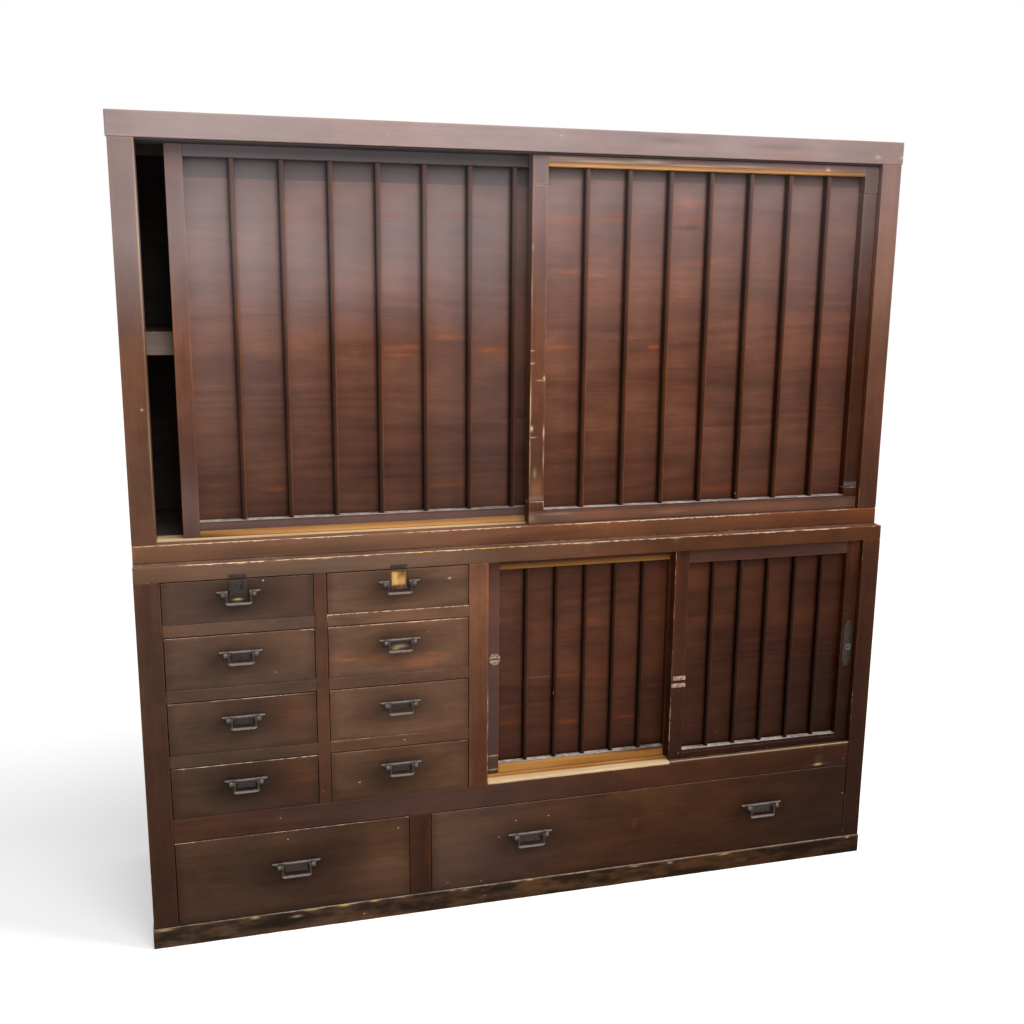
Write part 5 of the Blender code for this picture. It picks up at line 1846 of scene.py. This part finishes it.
@dataclass
class DropHandle:
    """A winged iron plate with two eyes, and the bail that swings in them."""

    name: str
    body: str
    middle: Middle = Middle.BACKPLATE
    eye_radius: float = 0.0055
    hole_radius: float = 0.0029
    eye_length: float = 0.008
    pin_proud: float = 0.0006
    pin_radius: float = 0.0023
    side_gap: float = 0.0005
    bar: float = 0.005
    bar_width: float = 0.0050
    heel: float = 0.0035
    wing_depth: float = 0.0050
    wing_half: float = 0.0050
    margin: float = 0.003
    sheet: float = 0.0015

    def build(self) -> None:
        """Build the plate and the bail."""
        low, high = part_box(f"{self.name}_plate")
        bail_low, bail_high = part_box(f"{self.name}_bail")
        x = (low.x + high.x) / 2
        back = high.y
        pivot = (x, low.y + self.eye_radius, high.z - self.eye_radius)
        eye_end = (bail_high.x - bail_low.x) / 2 - self.pin_proud
        half = eye_end - self.eye_length - self.side_gap
        self.plate(pivot, back, (high.x - low.x) / 2, eye_end, pivot[2] - bail_low.z)
        self.bail(pivot, half, eye_end, bail_low.z)

    def plate(self, pivot: Point, back: float, tip: float, eye_end: float, drop: float) -> None:
        """Wings, eyes, nails and what stands between the wings.

        Args:
            pivot: middle of the pivot line.
            back: plane that the plate lies on.
            tip: half the span of the wings.
            eye_end: outer end of an eye from the middle.
            drop: reach of the bail below the pivot.
        """
        x, y, z = pivot
        forge = Forge()
        front = back - self.wing_depth
        top, low = z + self.wing_half, z - self.wing_half
        eye_start = eye_end - self.eye_length
        swoop = [(eye_end + (tip - eye_end) * share, low + (top - 0.0016 - low) * share ** 0.6)
                 for share in (0.0, 0.2, 0.4, 0.6, 0.8, 1.0)]
        # The wings carry a painted highlight along their upper side.
        if self.middle in (Middle.BACKPLATE, Middle.LOST):
            right = [(x + a, b) for a, b in swoop] + [(x + tip, top)]
            left = [(2 * x - a, b) for a, b in reversed(right)]
            forge.slab(left + right, (front, back), 0.0007, rubbed=0.55)
        else:
            stub = eye_start - 0.006
            for sign in (-1, 1):
                wing = [(x + sign * a, b) for a, b in swoop] + [(x + sign * tip, top), (x + sign * stub, top),
                                                               (x + sign * stub, low)]
                forge.slab(wing, (front, back), 0.0007, rubbed=0.45)
        for sign in (-1, 1):
            start = x + sign * eye_start if sign > 0 else x - eye_end
            length = self.eye_length
            soft = 0.0007
            ring = [(0.0, self.hole_radius + soft), (soft, self.hole_radius), (length - soft, self.hole_radius),
                    (length, self.hole_radius + soft), (length, self.eye_radius - soft),
                    (length - soft, self.eye_radius), (soft, self.eye_radius), (0.0, self.eye_radius - soft)]
            forge.lathe(ring, (start, y, z), Axis.X, 24, ring=True)
            neck = (start + 0.0006, start + length - 0.0006)
            forge.slab([(neck[0], z - 0.004), (neck[1], z - 0.004), (neck[1], z + 0.004), (neck[0], z + 0.004)],
                       (y + self.hole_radius + 0.0002, back), 0.0005)
            forge.nail(x + sign * (eye_end + (tip - eye_end) * 0.45), front, z + 0.0018, 0.0012)
        if self.middle is Middle.BACKPLATE:
            reach = eye_start - self.side_gap - self.bar - self.margin
            foot = z - drop + self.bar + self.margin
            forge.slab([(x - reach, foot), (x + reach, foot), (x + reach, z), (x - reach, z)],
                       (back - self.sheet, back), 0.0005, sheen=0.03)
            forge.nail(x, front, z + 0.0006, 0.0014)
            forge.nail(x, back - self.sheet, foot + (z - foot) * 0.34, 0.0016)
        forge.build(f"dressed_{self.name}_plate", self.body, Metal.IRON, f"{self.name}_plate")

    def bail(self, pivot: Point, half: float, eye_end: float, foot: float) -> None:
        """The loose loop and its pins.

        Args:
            pivot: middle of the pivot line.
            half: half the outer width of the loop.
            eye_end: outer end of an eye from the middle.
            foot: lowest point of the loop.
        """
        x, y, z = pivot
        forge = Forge()
        middle = half - self.bar_width / 2
        base = foot + self.bar_width / 2
        bend = 0.0045
        path = [(x - middle, z + self.heel), (x - middle, z - 0.006)]
        for sign, angles in ((-1, (180, 202.5, 225, 247.5, 270)), (1, (270, 292.5, 315, 337.5, 360))):
            for angle in angles:
                path.append((x + sign * (middle - bend) + bend * math.cos(math.radians(angle)),
                             base + bend + bend * math.sin(math.radians(angle))))
        path += [(x + middle, z - 0.006), (x + middle, z + self.heel)]
        forge.sweep(path, y, (self.bar_width, self.bar), 0.0011, rubbed=0.42)
        for sign in (-1, 1):
            length = eye_end + self.pin_proud - middle
            start = x + middle if sign > 0 else x - middle
            pin = [(0.0, 0.0), (0.0, self.pin_radius), (sign * (length - 0.0005), self.pin_radius),
                   (sign * length, self.pin_radius - 0.0006), (sign * length, 0.0)]
            forge.lathe(pin, (start, y, z), Axis.X, 16)
        forge.build(f"dressed_{self.name}_bail", f"{self.name}_bail", Metal.IRON, f"{self.name}_bail")


@dataclass
class Ironwork:
    """The strikes, the lock, the escutcheon, the lost lock's strips, the finger pull and odd nails."""

    strike: Span = (0.037, 0.0085)
    lock: Span = (0.038, 0.0375)
    sheet: float = 0.0014

    def build(self) -> None:
        """Build every small fitting."""
        self.strikes()
        self.drawer_lock()
        self.door_fittings()

    @staticmethod
    def plate(x: Span, z: Span, soft: float = 0.002) -> list[Span]:
        """Outline of a plate with clipped corners.

        Args:
            x: left and right.
            z: bottom and top.
            soft: size of the clipped corners.

        Returns:
            Its corners in order.
        """
        return [(x[0] + soft, z[0]), (x[1] - soft, z[0]), (x[1], z[0] + soft), (x[1], z[1] - soft),
                (x[1] - soft, z[1]), (x[0] + soft, z[1]), (x[0], z[1] - soft), (x[0], z[0] + soft)]

    def strikes(self) -> None:
        """Strike plates on the rail over the two top drawers."""
        rail_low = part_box("lower_top")[0]
        for side in ("left", "right"):
            low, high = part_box(f"{side}_drawer_1_plate")
            x = (low.x + high.x) / 2
            half = self.strike[0] / 2
            forge = Forge()
            z = (rail_low.z + 0.0012, rail_low.z + 0.0012 + self.strike[1])
            face = rail_low.y
            forge.slab(self.plate((x - half, x + half), z, 0.0016), (face - self.sheet, face + 0.0004), 0.0004)
            for sign in (-1, 1):
                forge.nail(x + sign * (half - 0.005), face - self.sheet, (z[0] + z[1]) / 2, 0.0015)
            forge.build(f"{side}_strike", "carcase", Metal.IRON)

    def drawer_lock(self) -> None:
        """Lock plate of the top left drawer, and the strip left on the top right one."""
        drawer_low, drawer_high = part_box("left_drawer_1")
        low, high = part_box("left_drawer_1_plate")
        x = (low.x + high.x) / 2
        half = self.lock[0] / 2
        face = drawer_low.y
        z = (drawer_high.z - 0.0015 - self.lock[1], drawer_high.z - 0.0015)
        forge = Forge()
        slot = (x + 0.006, z[0] + 0.024)
        cheek = 0.0022
        forge.slab(self.plate((x - half, slot[0] - cheek), z), (face - 0.0022, face + 0.0004), 0.0005)
        forge.slab(self.plate((slot[0] + cheek, x + half), z), (face - 0.0022, face + 0.0004), 0.0005)
        forge.slab(self.plate((slot[0] - cheek, slot[0] + cheek), (slot[1] + 0.004, z[1]), 0.0004),
                   (face - 0.0022, face + 0.0004), 0.0003)
        forge.slab(self.plate((slot[0] - cheek, slot[0] + cheek), (z[0], slot[1] - 0.007), 0.0004),
                   (face - 0.0022, face + 0.0004), 0.0003)
        for sign_x in (-1, 1):
            for height in (z[0] + 0.006, z[1] - 0.005):
                forge.nail(x + sign_x * (half - 0.005), face - 0.0022, height, 0.0015)
        forge.build("left_lock_plate", "left_drawer_1", Metal.IRON)

        nail = Forge()
        nail.nail(x + 0.052, face, drawer_high.z - 0.006, 0.0022)
        nail.build("left_drawer_nail", "left_drawer_1", Metal.BRASS)

        low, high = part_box("right_drawer_1_plate")
        x = (low.x + high.x) / 2
        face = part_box("right_drawer_1")[0].y
        strip = Forge()
        strip.slab(self.plate((x - 0.018, x + 0.018), (high.z - 0.021, high.z - 0.0135), 0.001),
                   (face - 0.0012, face + 0.0004), 0.0004)
        strip.nail(x - 0.0155, face - 0.0012, high.z - 0.0205, 0.0014)
        strip.build("right_lock_strip", "right_drawer_1", Metal.COPPER)

    def door_fittings(self) -> None:
        """The slotted escutcheon, the two strips of a lost lock and the finger pull."""
        low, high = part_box("lower_left_door_lattice")
        face = low.y
        x, z = low.x + 0.0240, 0.5942
        disc = Forge()
        radius = 0.0140
        for sign in (-1, 1):
            arc = [(x + radius * math.cos(angle), z + sign * radius * math.sin(angle))
                   for angle in np.linspace(0.12, math.pi - 0.12, 12)]
            disc.slab(arc, (face - 0.0012, face + 0.0004), 0.0004)
        disc.build("door_escutcheon", "lower_left_door", Metal.BRASS)

        low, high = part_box("lower_right_door_lattice")
        face = low.y
        for name, start, end, z in (("upper", 0.0035, 0.0365, 0.5187), ("lower", 0.0005, 0.0370, 0.5004)):
            strip = Forge()
            strip.slab(self.plate((low.x + start, low.x + end), (z - 0.0050, z + 0.0050), 0.0015),
                       (face - 0.0014, face + 0.0004), 0.0005)
            for place in (start + 0.006, end - 0.006):
                strip.nail(low.x + place, face - 0.0014, z, 0.0018)
            strip.build(f"lost_lock_strip_{name}", "lower_right_door", Metal.BRASS)

        x = high.x - 0.0165
        half, top, foot = 0.0120, 0.6320, 0.5130
        outline = [(x - half, foot + 0.014), (x - 0.007, foot), (x + 0.007, foot), (x + half, foot + 0.014),
                   (x + half, top - 0.018), (x + 0.007, top - 0.004), (x, top), (x - 0.007, top - 0.004),
                   (x - half, top - 0.018)]
        pull = Forge()
        pull.slab(outline, (face - 0.0014, face + 0.0004), 0.0005)
        for height in (top - 0.012, foot + 0.010):
            pull.nail(x, face - 0.0014, height, 0.0020)
        cup = [(-0.0012, 0.0), (-0.0012, 0.0056), (-0.0030, 0.0074), (-0.0030, 0.0086), (-0.0010, 0.0096)]
        pull.lathe(cup + [(0.0, 0.0096)], (x, face - 0.0012, (top + foot) / 2 - 0.010), Axis.Y, 24)
        pull.build("door_finger_pull", "lower_right_door", Metal.IRON)


@dataclass
class Studio:
    """Pale floor, white surroundings, soft lamps and the camera."""

    focal_pixels: float = 1153.87
    image_pixels: float = 1024.0
    sensor: float = 36.0
    place: Point = (-0.7451, -2.6435, 1.4899)
    azimuth: float = 15.6396
    pitch: float = 12.0488
    roll: float = 0.5366
    ambient: float = 0.42
    sun_strength: float = 2.4

    def build(self) -> None:
        """Set up the camera, the surroundings, the floor and the lamps."""
        self.camera()
        self.surroundings()
        self.floor()
        self.sun()
        self.lamp("front_lamp", (0.3, -2.9, 3.5), (0.0, -0.2, 0.9), 2.4, 90.0)
        bpy.context.scene.view_settings.view_transform = "Standard"

    def camera(self) -> None:
        """Place the camera where the photograph was taken from."""
        azimuth, pitch, roll = (math.radians(angle) for angle in (self.azimuth, self.pitch, self.roll))
        ahead = Vector((math.sin(azimuth) * math.cos(pitch), math.cos(azimuth) * math.cos(pitch), -math.sin(pitch)))
        right = ahead.cross(Vector((0, 0, 1))).normalized()
        up = right.cross(ahead)
        across = math.cos(roll) * right + math.sin(roll) * up
        upward = -math.sin(roll) * right + math.cos(roll) * up
        turn = Matrix((across, upward, -ahead)).transposed().to_4x4()
        data = bpy.data.cameras.new("photo_camera")
        data.sensor_width = self.sensor
        data.lens = self.focal_pixels / self.image_pixels * self.sensor
        item = bpy.data.objects.new("photo_camera", data)
        item.matrix_world = Matrix.Translation(self.place) @ turn
        bpy.context.scene.collection.objects.link(item)
        bpy.context.scene.camera = item

    def surroundings(self) -> None:
        """White behind and in reflections, softer as light."""
        world = bpy.data.worlds.new("surroundings")
        world.use_nodes = True
        bpy.context.scene.world = world
        graph = Graph(world.node_tree)
        path = graph.add("LightPath")
        seen = graph.math("MAXIMUM", path.outputs["Is Camera Ray"],
                          graph.math("MAXIMUM", path.outputs["Is Glossy Ray"], path.outputs["Is Transmission Ray"]))
        background = world.node_tree.nodes["Background"]
        background.inputs["Color"].default_value = (1.0, 1.0, 1.0, 1.0)
        graph.plug(background.inputs["Strength"], graph.span(seen, 0.0, 1.0, self.ambient, 1.0, smooth=False))

    @staticmethod
    def floor() -> None:
        """A pale floor that keeps the chest's shadow."""
        mesh = bpy.data.meshes.new("floor")
        reach = 14.0
        mesh.from_pydata([(-reach, -reach, 0), (reach, -reach, 0), (reach, reach, 0), (-reach, reach, 0)], [],
                         [(0, 1, 2, 3)])
        item = bpy.data.objects.new("floor", mesh)
        bpy.context.scene.collection.objects.link(item)
        material = bpy.data.materials.new("pale_floor")
        material.use_nodes = True
        graph = Graph(material.node_tree)
        shader = material.node_tree.nodes["Principled BSDF"]
        shader.inputs["Base Color"].default_value = (0.80, 0.80, 0.80, 1.0)
        shader.inputs["Roughness"].default_value = 0.9
        shader.inputs["Specular IOR Level"].default_value = 0.0
        path = graph.add("LightPath")
        seen = graph.math("MAXIMUM", path.outputs["Is Camera Ray"],
                          graph.math("MAXIMUM", path.outputs["Is Glossy Ray"], path.outputs["Is Transmission Ray"]))
        shader.inputs["Emission Color"].default_value = (1.0, 1.0, 1.0, 1.0)
        graph.plug(shader.inputs["Emission Strength"], graph.math("MULTIPLY", seen, 0.40))
        mesh.materials.append(material)

    def sun(self) -> None:
        """A soft low sun from the right, which throws the chest's shadow to the left."""
        data = bpy.data.lights.new("side_sun", "SUN")
        data.energy = self.sun_strength
        data.angle = math.radians(24.0)
        item = bpy.data.objects.new("side_sun", data)
        aim = Vector((-0.95, 0.32, -0.72))
        item.rotation_euler = aim.to_track_quat("-Z", "Y").to_euler()
        bpy.context.scene.collection.objects.link(item)

    @staticmethod
    def lamp(name: str, place: Point, aim: Point, size: float, power: float) -> None:
        """Add a soft square lamp.

        Args:
            name: lamp name.
            place: where it stands.
            aim: point that it looks at.
            size: side of the square.
            power: power in watts.
        """
        data = bpy.data.lights.new(name, "AREA")
        data.size = size
        data.energy = power
        item = bpy.data.objects.new(name, data)
        item.location = place
        item.rotation_euler = (Vector(aim) - Vector(place)).to_track_quat("-Z", "Y").to_euler()
        bpy.context.scene.collection.objects.link(item)


def streaks(mark: Mark, places: tuple[tuple[float, ...], ...]) -> tuple[Spot, ...]:
    """Several spots of one kind.

    Args:
        mark: what they show.
        places: x, z, reach along x, reach along z and strength of each.

    Returns:
        The spots.
    """
    return tuple(Spot(mark, *place) for place in places)


def build_doors() -> None:
    """The four sliding doors, with the marks that each one has."""
    low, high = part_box("upper_left_door_lattice")
    fading = Spot(Mark.STAIN, low.x + 0.030, low.z, 0.130, 0.022, 1.2)
    flames = streaks(Mark.WARM, (
        (-0.296, 1.2953, 0.030, 0.0035, 0.9), (-0.092, 1.3042, 0.034, 0.0070, 0.9), (-0.080, 1.3000, 0.022, 0.0100, 0.5),
        (-0.495, 1.5943, 0.045, 0.0018, 0.8), (-0.326, 1.5915, 0.050, 0.0030, 0.6), (-0.172, 1.5945, 0.060, 0.0030, 0.6),
        (-0.574, 1.0068, 0.020, 0.0045, 0.9), (-0.701, 1.0210, 0.018, 0.0030, 0.7), (-0.201, 1.0000, 0.050, 0.0040, 0.6),
        (-0.107, 1.0218, 0.050, 0.0030, 0.5), (-0.380, 1.3300, 0.120, 0.0250, 0.20)))
    shade = (Spot(Mark.STAIN, -0.35, 1.05, 9.0, 0.150, 0.32),)
    # The head rail and the top plank are darkened: painted shade under the chest's top rail.
    SlidingDoor("upper_left_door", 7, 0.0235, 0.033, upper_tongue=0.0075, worn_runner=True, runner_tone=0.45, head_tone=-0.85, left_tone=0.22,
                head_spots=(Spot(Mark.HAZE, -0.60, 1.72, 0.40, 0.05, 0.05),),
                seams=(1.145, 1.387, 1.660), top_plank_shade=-0.75, foot_spots=(fading, Spot(Mark.HAZE, -0.35, 0.94, 9.0, 0.05, 0.095)),
                stile_spots=(Spot(Mark.HAZE, low.x + 0.017, 0.95, 0.030, 0.11, 0.11),
                             Spot(Mark.STAIN, low.x + 0.017, 0.93, 0.040, 0.09, 0.42)), field_spots=(*flames, Spot(Mark.HAZE, -0.68, 1.30, 0.16, 0.20, 0.070),
                                                                                            Spot(Mark.HAZE, -0.10, 1.25, 0.14, 0.34, 0.055)),
                field_shade=shade).build()

    low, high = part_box("upper_right_door_lattice")
    head = (Spot(Mark.BARE, 0.694, 1.7065, 0.0060, 0.0075, 1.3), *streaks(Mark.BARE, (
        (0.060, 1.7180, 0.060, 0.0026, 0.36), (0.150, 1.7130, 0.090, 0.0032, 0.46), (0.255, 1.7160, 0.040, 0.0036, 0.60),
        (0.370, 1.7090, 0.080, 0.0036, 0.62), (0.480, 1.7130, 0.070, 0.0028, 0.46), (0.560, 1.7070, 0.080, 0.0030, 0.50),
        (0.650, 1.7090, 0.060, 0.0026, 0.36))))
    worn = (Spot(Mark.HAZE, 0.30, 1.70, 9.0, 0.05, 0.12), Spot(Mark.STAIN, high.x - 0.030, 1.70, 0.16, 0.05, 0.75))
    foot = (Spot(Mark.HAZE, 0.40, low.z, 9.0, 0.09, 0.050), *streaks(Mark.WARM, (
        (0.180, low.z + 0.022, 0.110, 0.010, 0.6), (0.330, low.z + 0.020, 0.130, 0.012, 0.8),
        (0.600, low.z + 0.020, 0.160, 0.010, 0.6))), *streaks(Mark.BARE, (
            (low.x + 0.004, low.z + 0.016, 0.012, 0.010, 0.22), (0.055, low.z + 0.026, 0.040, 0.004, 0.20),
            (0.330, low.z + 0.018, 0.060, 0.005, 0.12), (0.400, low.z + 0.016, 9.0, 0.020, 0.035))))
    left, right = low.x, low.x + 0.035
    chips = (*streaks(Mark.BARE, (
        (left + 0.003, 1.306, 0.0050, 0.0012, 0.8), (left + 0.003, 1.278, 0.0055, 0.0014, 0.9),
        (left + 0.001, 1.185, 0.0014, 0.0420, 0.9), (left + 0.004, 1.132, 0.0034, 0.0050, 1.0),
        (left + 0.007, 1.112, 0.0070, 0.0012, 0.6), (left + 0.001, 1.060, 0.0014, 0.0500, 0.45),
        (left + 0.002, 1.530, 0.0030, 0.0060, 0.35), (left + 0.001, 1.440, 0.0014, 0.0300, 0.40),
        (right - 0.002, 1.244, 0.0028, 0.0050, 0.9), (right - 0.013, 1.240, 0.0080, 0.0014, 0.5),
        (right - 0.002, 1.122, 0.0018, 0.0130, 1.0), (right - 0.002, 1.061, 0.0016, 0.0240, 0.55),
        (left + 0.013, 1.029, 0.0040, 0.0110, 0.28), (left + 0.016, 0.992, 0.0160, 0.0260, 0.10),
        (left + 0.016, 1.661, 0.0140, 0.0018, 0.8))),
        Spot(Mark.WARM, left + 0.016, 0.995, 0.0200, 0.0300, 0.8),
        Spot(Mark.HAZE, 0.40, low.z + 0.064, 9.0, 0.0060, 0.20),
        Spot(Mark.STAIN, 0.40, low.z + 0.073, 9.0, 0.0014, 0.7))
    flames = streaks(Mark.WARM, (
        (0.068, 1.3120, 0.026, 0.0040, 0.9), (0.290, 1.3098, 0.018, 0.0050, 1.0), (0.500, 1.3079, 0.030, 0.0030, 0.5),
        (0.216, 1.3309, 0.050, 0.0016, 0.6), (0.090, 1.5855, 0.040, 0.0080, 0.5), (0.184, 1.5959, 0.045, 0.0100, 0.5),
        (0.377, 1.5996, 0.045, 0.0080, 0.5), (0.605, 0.9610, 0.030, 0.0080, 0.6), (0.450, 0.9700, 0.120, 0.0100, 0.4)))
    dark = (Spot(Mark.STAIN, 0.366, 1.5773, 0.040, 0.0060, 0.35), Spot(Mark.STAIN, 0.281, 1.2342, 9.0, 0.030, 0.28))
    # The top plank is darkened: painted shade under the chest's top rail.
    SlidingDoor("upper_right_door", 7, 0.0235, 0.033, upper_tongue=0.0075, foot_rail=0.028, eased_stiles=True, worn_head=0.0085,
                outer_wear=0.8, tone=0.06, right_tone=-0.42, head_tone=0.10, worn_tone=0.30, seams=(1.120, 1.410, 1.676),
                top_plank_shade=-0.62, field_shade=(Spot(Mark.STAIN, 0.40, 0.95, 9.0, 0.200, 0.36),), head_spots=head, worn_spots=worn, foot_spots=foot, stile_spots=chips,
                field_spots=(*flames, *dark, Spot(Mark.HAZE, 0.10, 1.42, 0.36, 0.20, 0.036),
                             Spot(Mark.HAZE, 0.62, 1.30, 0.34, 0.40, 0.040))).build()

    low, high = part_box("lower_left_door_lattice")
    marks = (*streaks(Mark.BARE, ((low.x + 0.022, 0.355, 0.012, 0.0018, 0.8), (low.x + 0.022, 0.320, 0.012, 0.0018, 0.8))),
             Spot(Mark.HAZE, low.x + 0.015, 0.50, 0.030, 0.40, 0.055))
    dark_end = Spot(Mark.STAIN, high.x - 0.060, low.z + 0.027, 0.150, 0.006, 1.2)
    flames = streaks(Mark.WARM, (
        (0.104, 0.4151, 0.030, 0.0060, 0.8), (0.246, 0.4138, 0.030, 0.0040, 0.8), (-0.049, 0.4281, 0.030, 0.0080, 0.5),
        (0.141, 0.6645, 0.030, 0.0050, 0.5), (0.315, 0.6590, 0.025, 0.0060, 0.5), (0.180, 0.5400, 0.200, 0.0300, 0.2)))
    scratch = Spot(Mark.HAZE, 0.024, 0.5345, 0.060, 0.0014, 0.10)
    SlidingDoor("lower_left_door", 5, 0.027, 0.022, slat_shrink=0.0046, worn_runner=True, worn_rail=True, worn_head=0.013,
                worn_tone=-0.20, left_tone=0.45, seams=(0.470, 0.650), foot_spots=(dark_end,), stile_spots=marks,
                worn_spots=(Spot(Mark.WARM, 0.30, 0.81, 0.20, 0.05, 0.6),), field_spots=(*flames, scratch)).build()

    sheen_film = (Spot(Mark.HAZE, 0.58, 0.83, 9.0, 0.05, 0.022),)
    SlidingDoor("lower_right_door", 5, 0.031, 0.022, slat_shrink=0.0046, outer_wear=1.1, head_wear=0.5, foot_shade=0.0,
                field_shade=(Spot(Mark.STAIN, 0.58, 0.36, 9.0, 0.16, 0.40),), tone=-0.04, seams=(0.480, 0.660), head_spots=sheen_film).build()


def build_drawers() -> None:
    """The eight small drawers, the two wide ones and their handles."""
    tones = {"left": (-0.18, 0.06, -0.02, -0.10), "right": (0.48, 0.80, 0.80, 0.50)}
    worn = {"left": (0.15, 1.1, 1.0, 1.0), "right": (0.2, 1.3, 0.5, 0.4)}
    smears = (Spot(Mark.WARM, -0.4294, 0.6369, 0.026, 0.0035, 0.9), Spot(Mark.WARM, -0.2473, 0.6356, 0.018, 0.0060, 0.7),
              Spot(Mark.WARM, -0.3291, 0.6296, 0.012, 0.0050, 0.5), Spot(Mark.BARE, -0.3220, 0.6594, 0.014, 0.0040, 0.9),
              Spot(Mark.BARE, -0.3300, 0.6550, 0.008, 0.0025, 0.9))
    nick = Spot(Mark.BARE, -0.2087, 0.8088, 0.0028, 0.0020, 1.0)
    glows = (0.30, 0.18, 0.36, 0.56)
    for side, shades in tones.items():
        for number, tone in enumerate(shades, start=1):
            name = f"{side}_drawer_{number}"
            low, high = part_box(f"{name}_plate")
            x = (low.x + high.x) / 2
            middle, recess = Middle.BACKPLATE, None
            spots: tuple[Spot, ...] = ()
            if side == "left":
                spots = (Spot(Mark.WARM, x + 0.110, high.z - 0.010, 0.060, 0.055, glows[number - 1]),)
            if number == 1 and side == "left":
                middle = Middle.LOCK
                spots += (Spot(Mark.BARE, x - 0.001, high.z - 0.0200, 0.008, 0.0024, 1.1),)
            elif number == 1:
                middle = Middle.EMPTY
                recess = Recess((x - 0.0165, x + 0.0165), (high.z - 0.0125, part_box(name)[1].z - 0.0036), 0.0036)
                spots = (nick,)
            elif number == 2 and side == "right":
                middle = Middle.LOST
                spots = smears
            Drawer(name, (name,), tone=tone, wear_top=worn[side][number - 1], spots=spots, recess=recess).build()
            DropHandle(name, name, middle).build()
    streak = (Spot(Mark.WARM, -0.3605, 0.1475, 0.028, 0.0036, 1.5), Spot(Mark.WARM, -0.3400, 0.1420, 0.014, 0.0025, 0.8))
    paler = (Spot(Mark.BARE, -0.360, 0.110, 0.080, 0.060, 0.055), Spot(Mark.WARM, -0.370, 0.110, 0.110, 0.070, 0.44))
    Drawer("wide_left_drawer", ("wide_left_drawer",), tone=0.14, wear_top=0.8, spots=(*streak, *paler)).build()
    DropHandle("wide_left_drawer", "wide_left_drawer").build()
    ends = ("wide_right_drawer_near", "wide_right_drawer_far")
    scar = (Spot(Mark.WARM, 0.2518, 0.1554, 0.006, 0.0120, 0.8), Spot(Mark.WARM, -0.2200, 0.1700, 0.010, 0.0040, 0.5))
    shade = (Spot(Mark.STAIN, 0.860, 0.14, 0.40, 0.50, 0.50), Spot(Mark.HAZE, -0.170, 0.15, 0.20, 0.12, 0.030))
    Drawer("wide_right_drawer", ends, tone=0.42, wear_top=0.15, spots=(*scar, *shade)).build()
    for end in ends:
        DropHandle(end, "wide_right_drawer").build()


def main() -> None:
    """Build the studio and every sub-assembly in order."""
    logging.basicConfig(level=logging.INFO, format="%(message)s")
    Studio().build()
    UpperCase(Track("upper_right_door", "upper_left_door")).build()
    LowerCase(Track("lower_right_door", "lower_left_door")).build()
    build_doors()
    build_drawers()
    Ironwork().build()


if __name__ == "__main__":
    main()
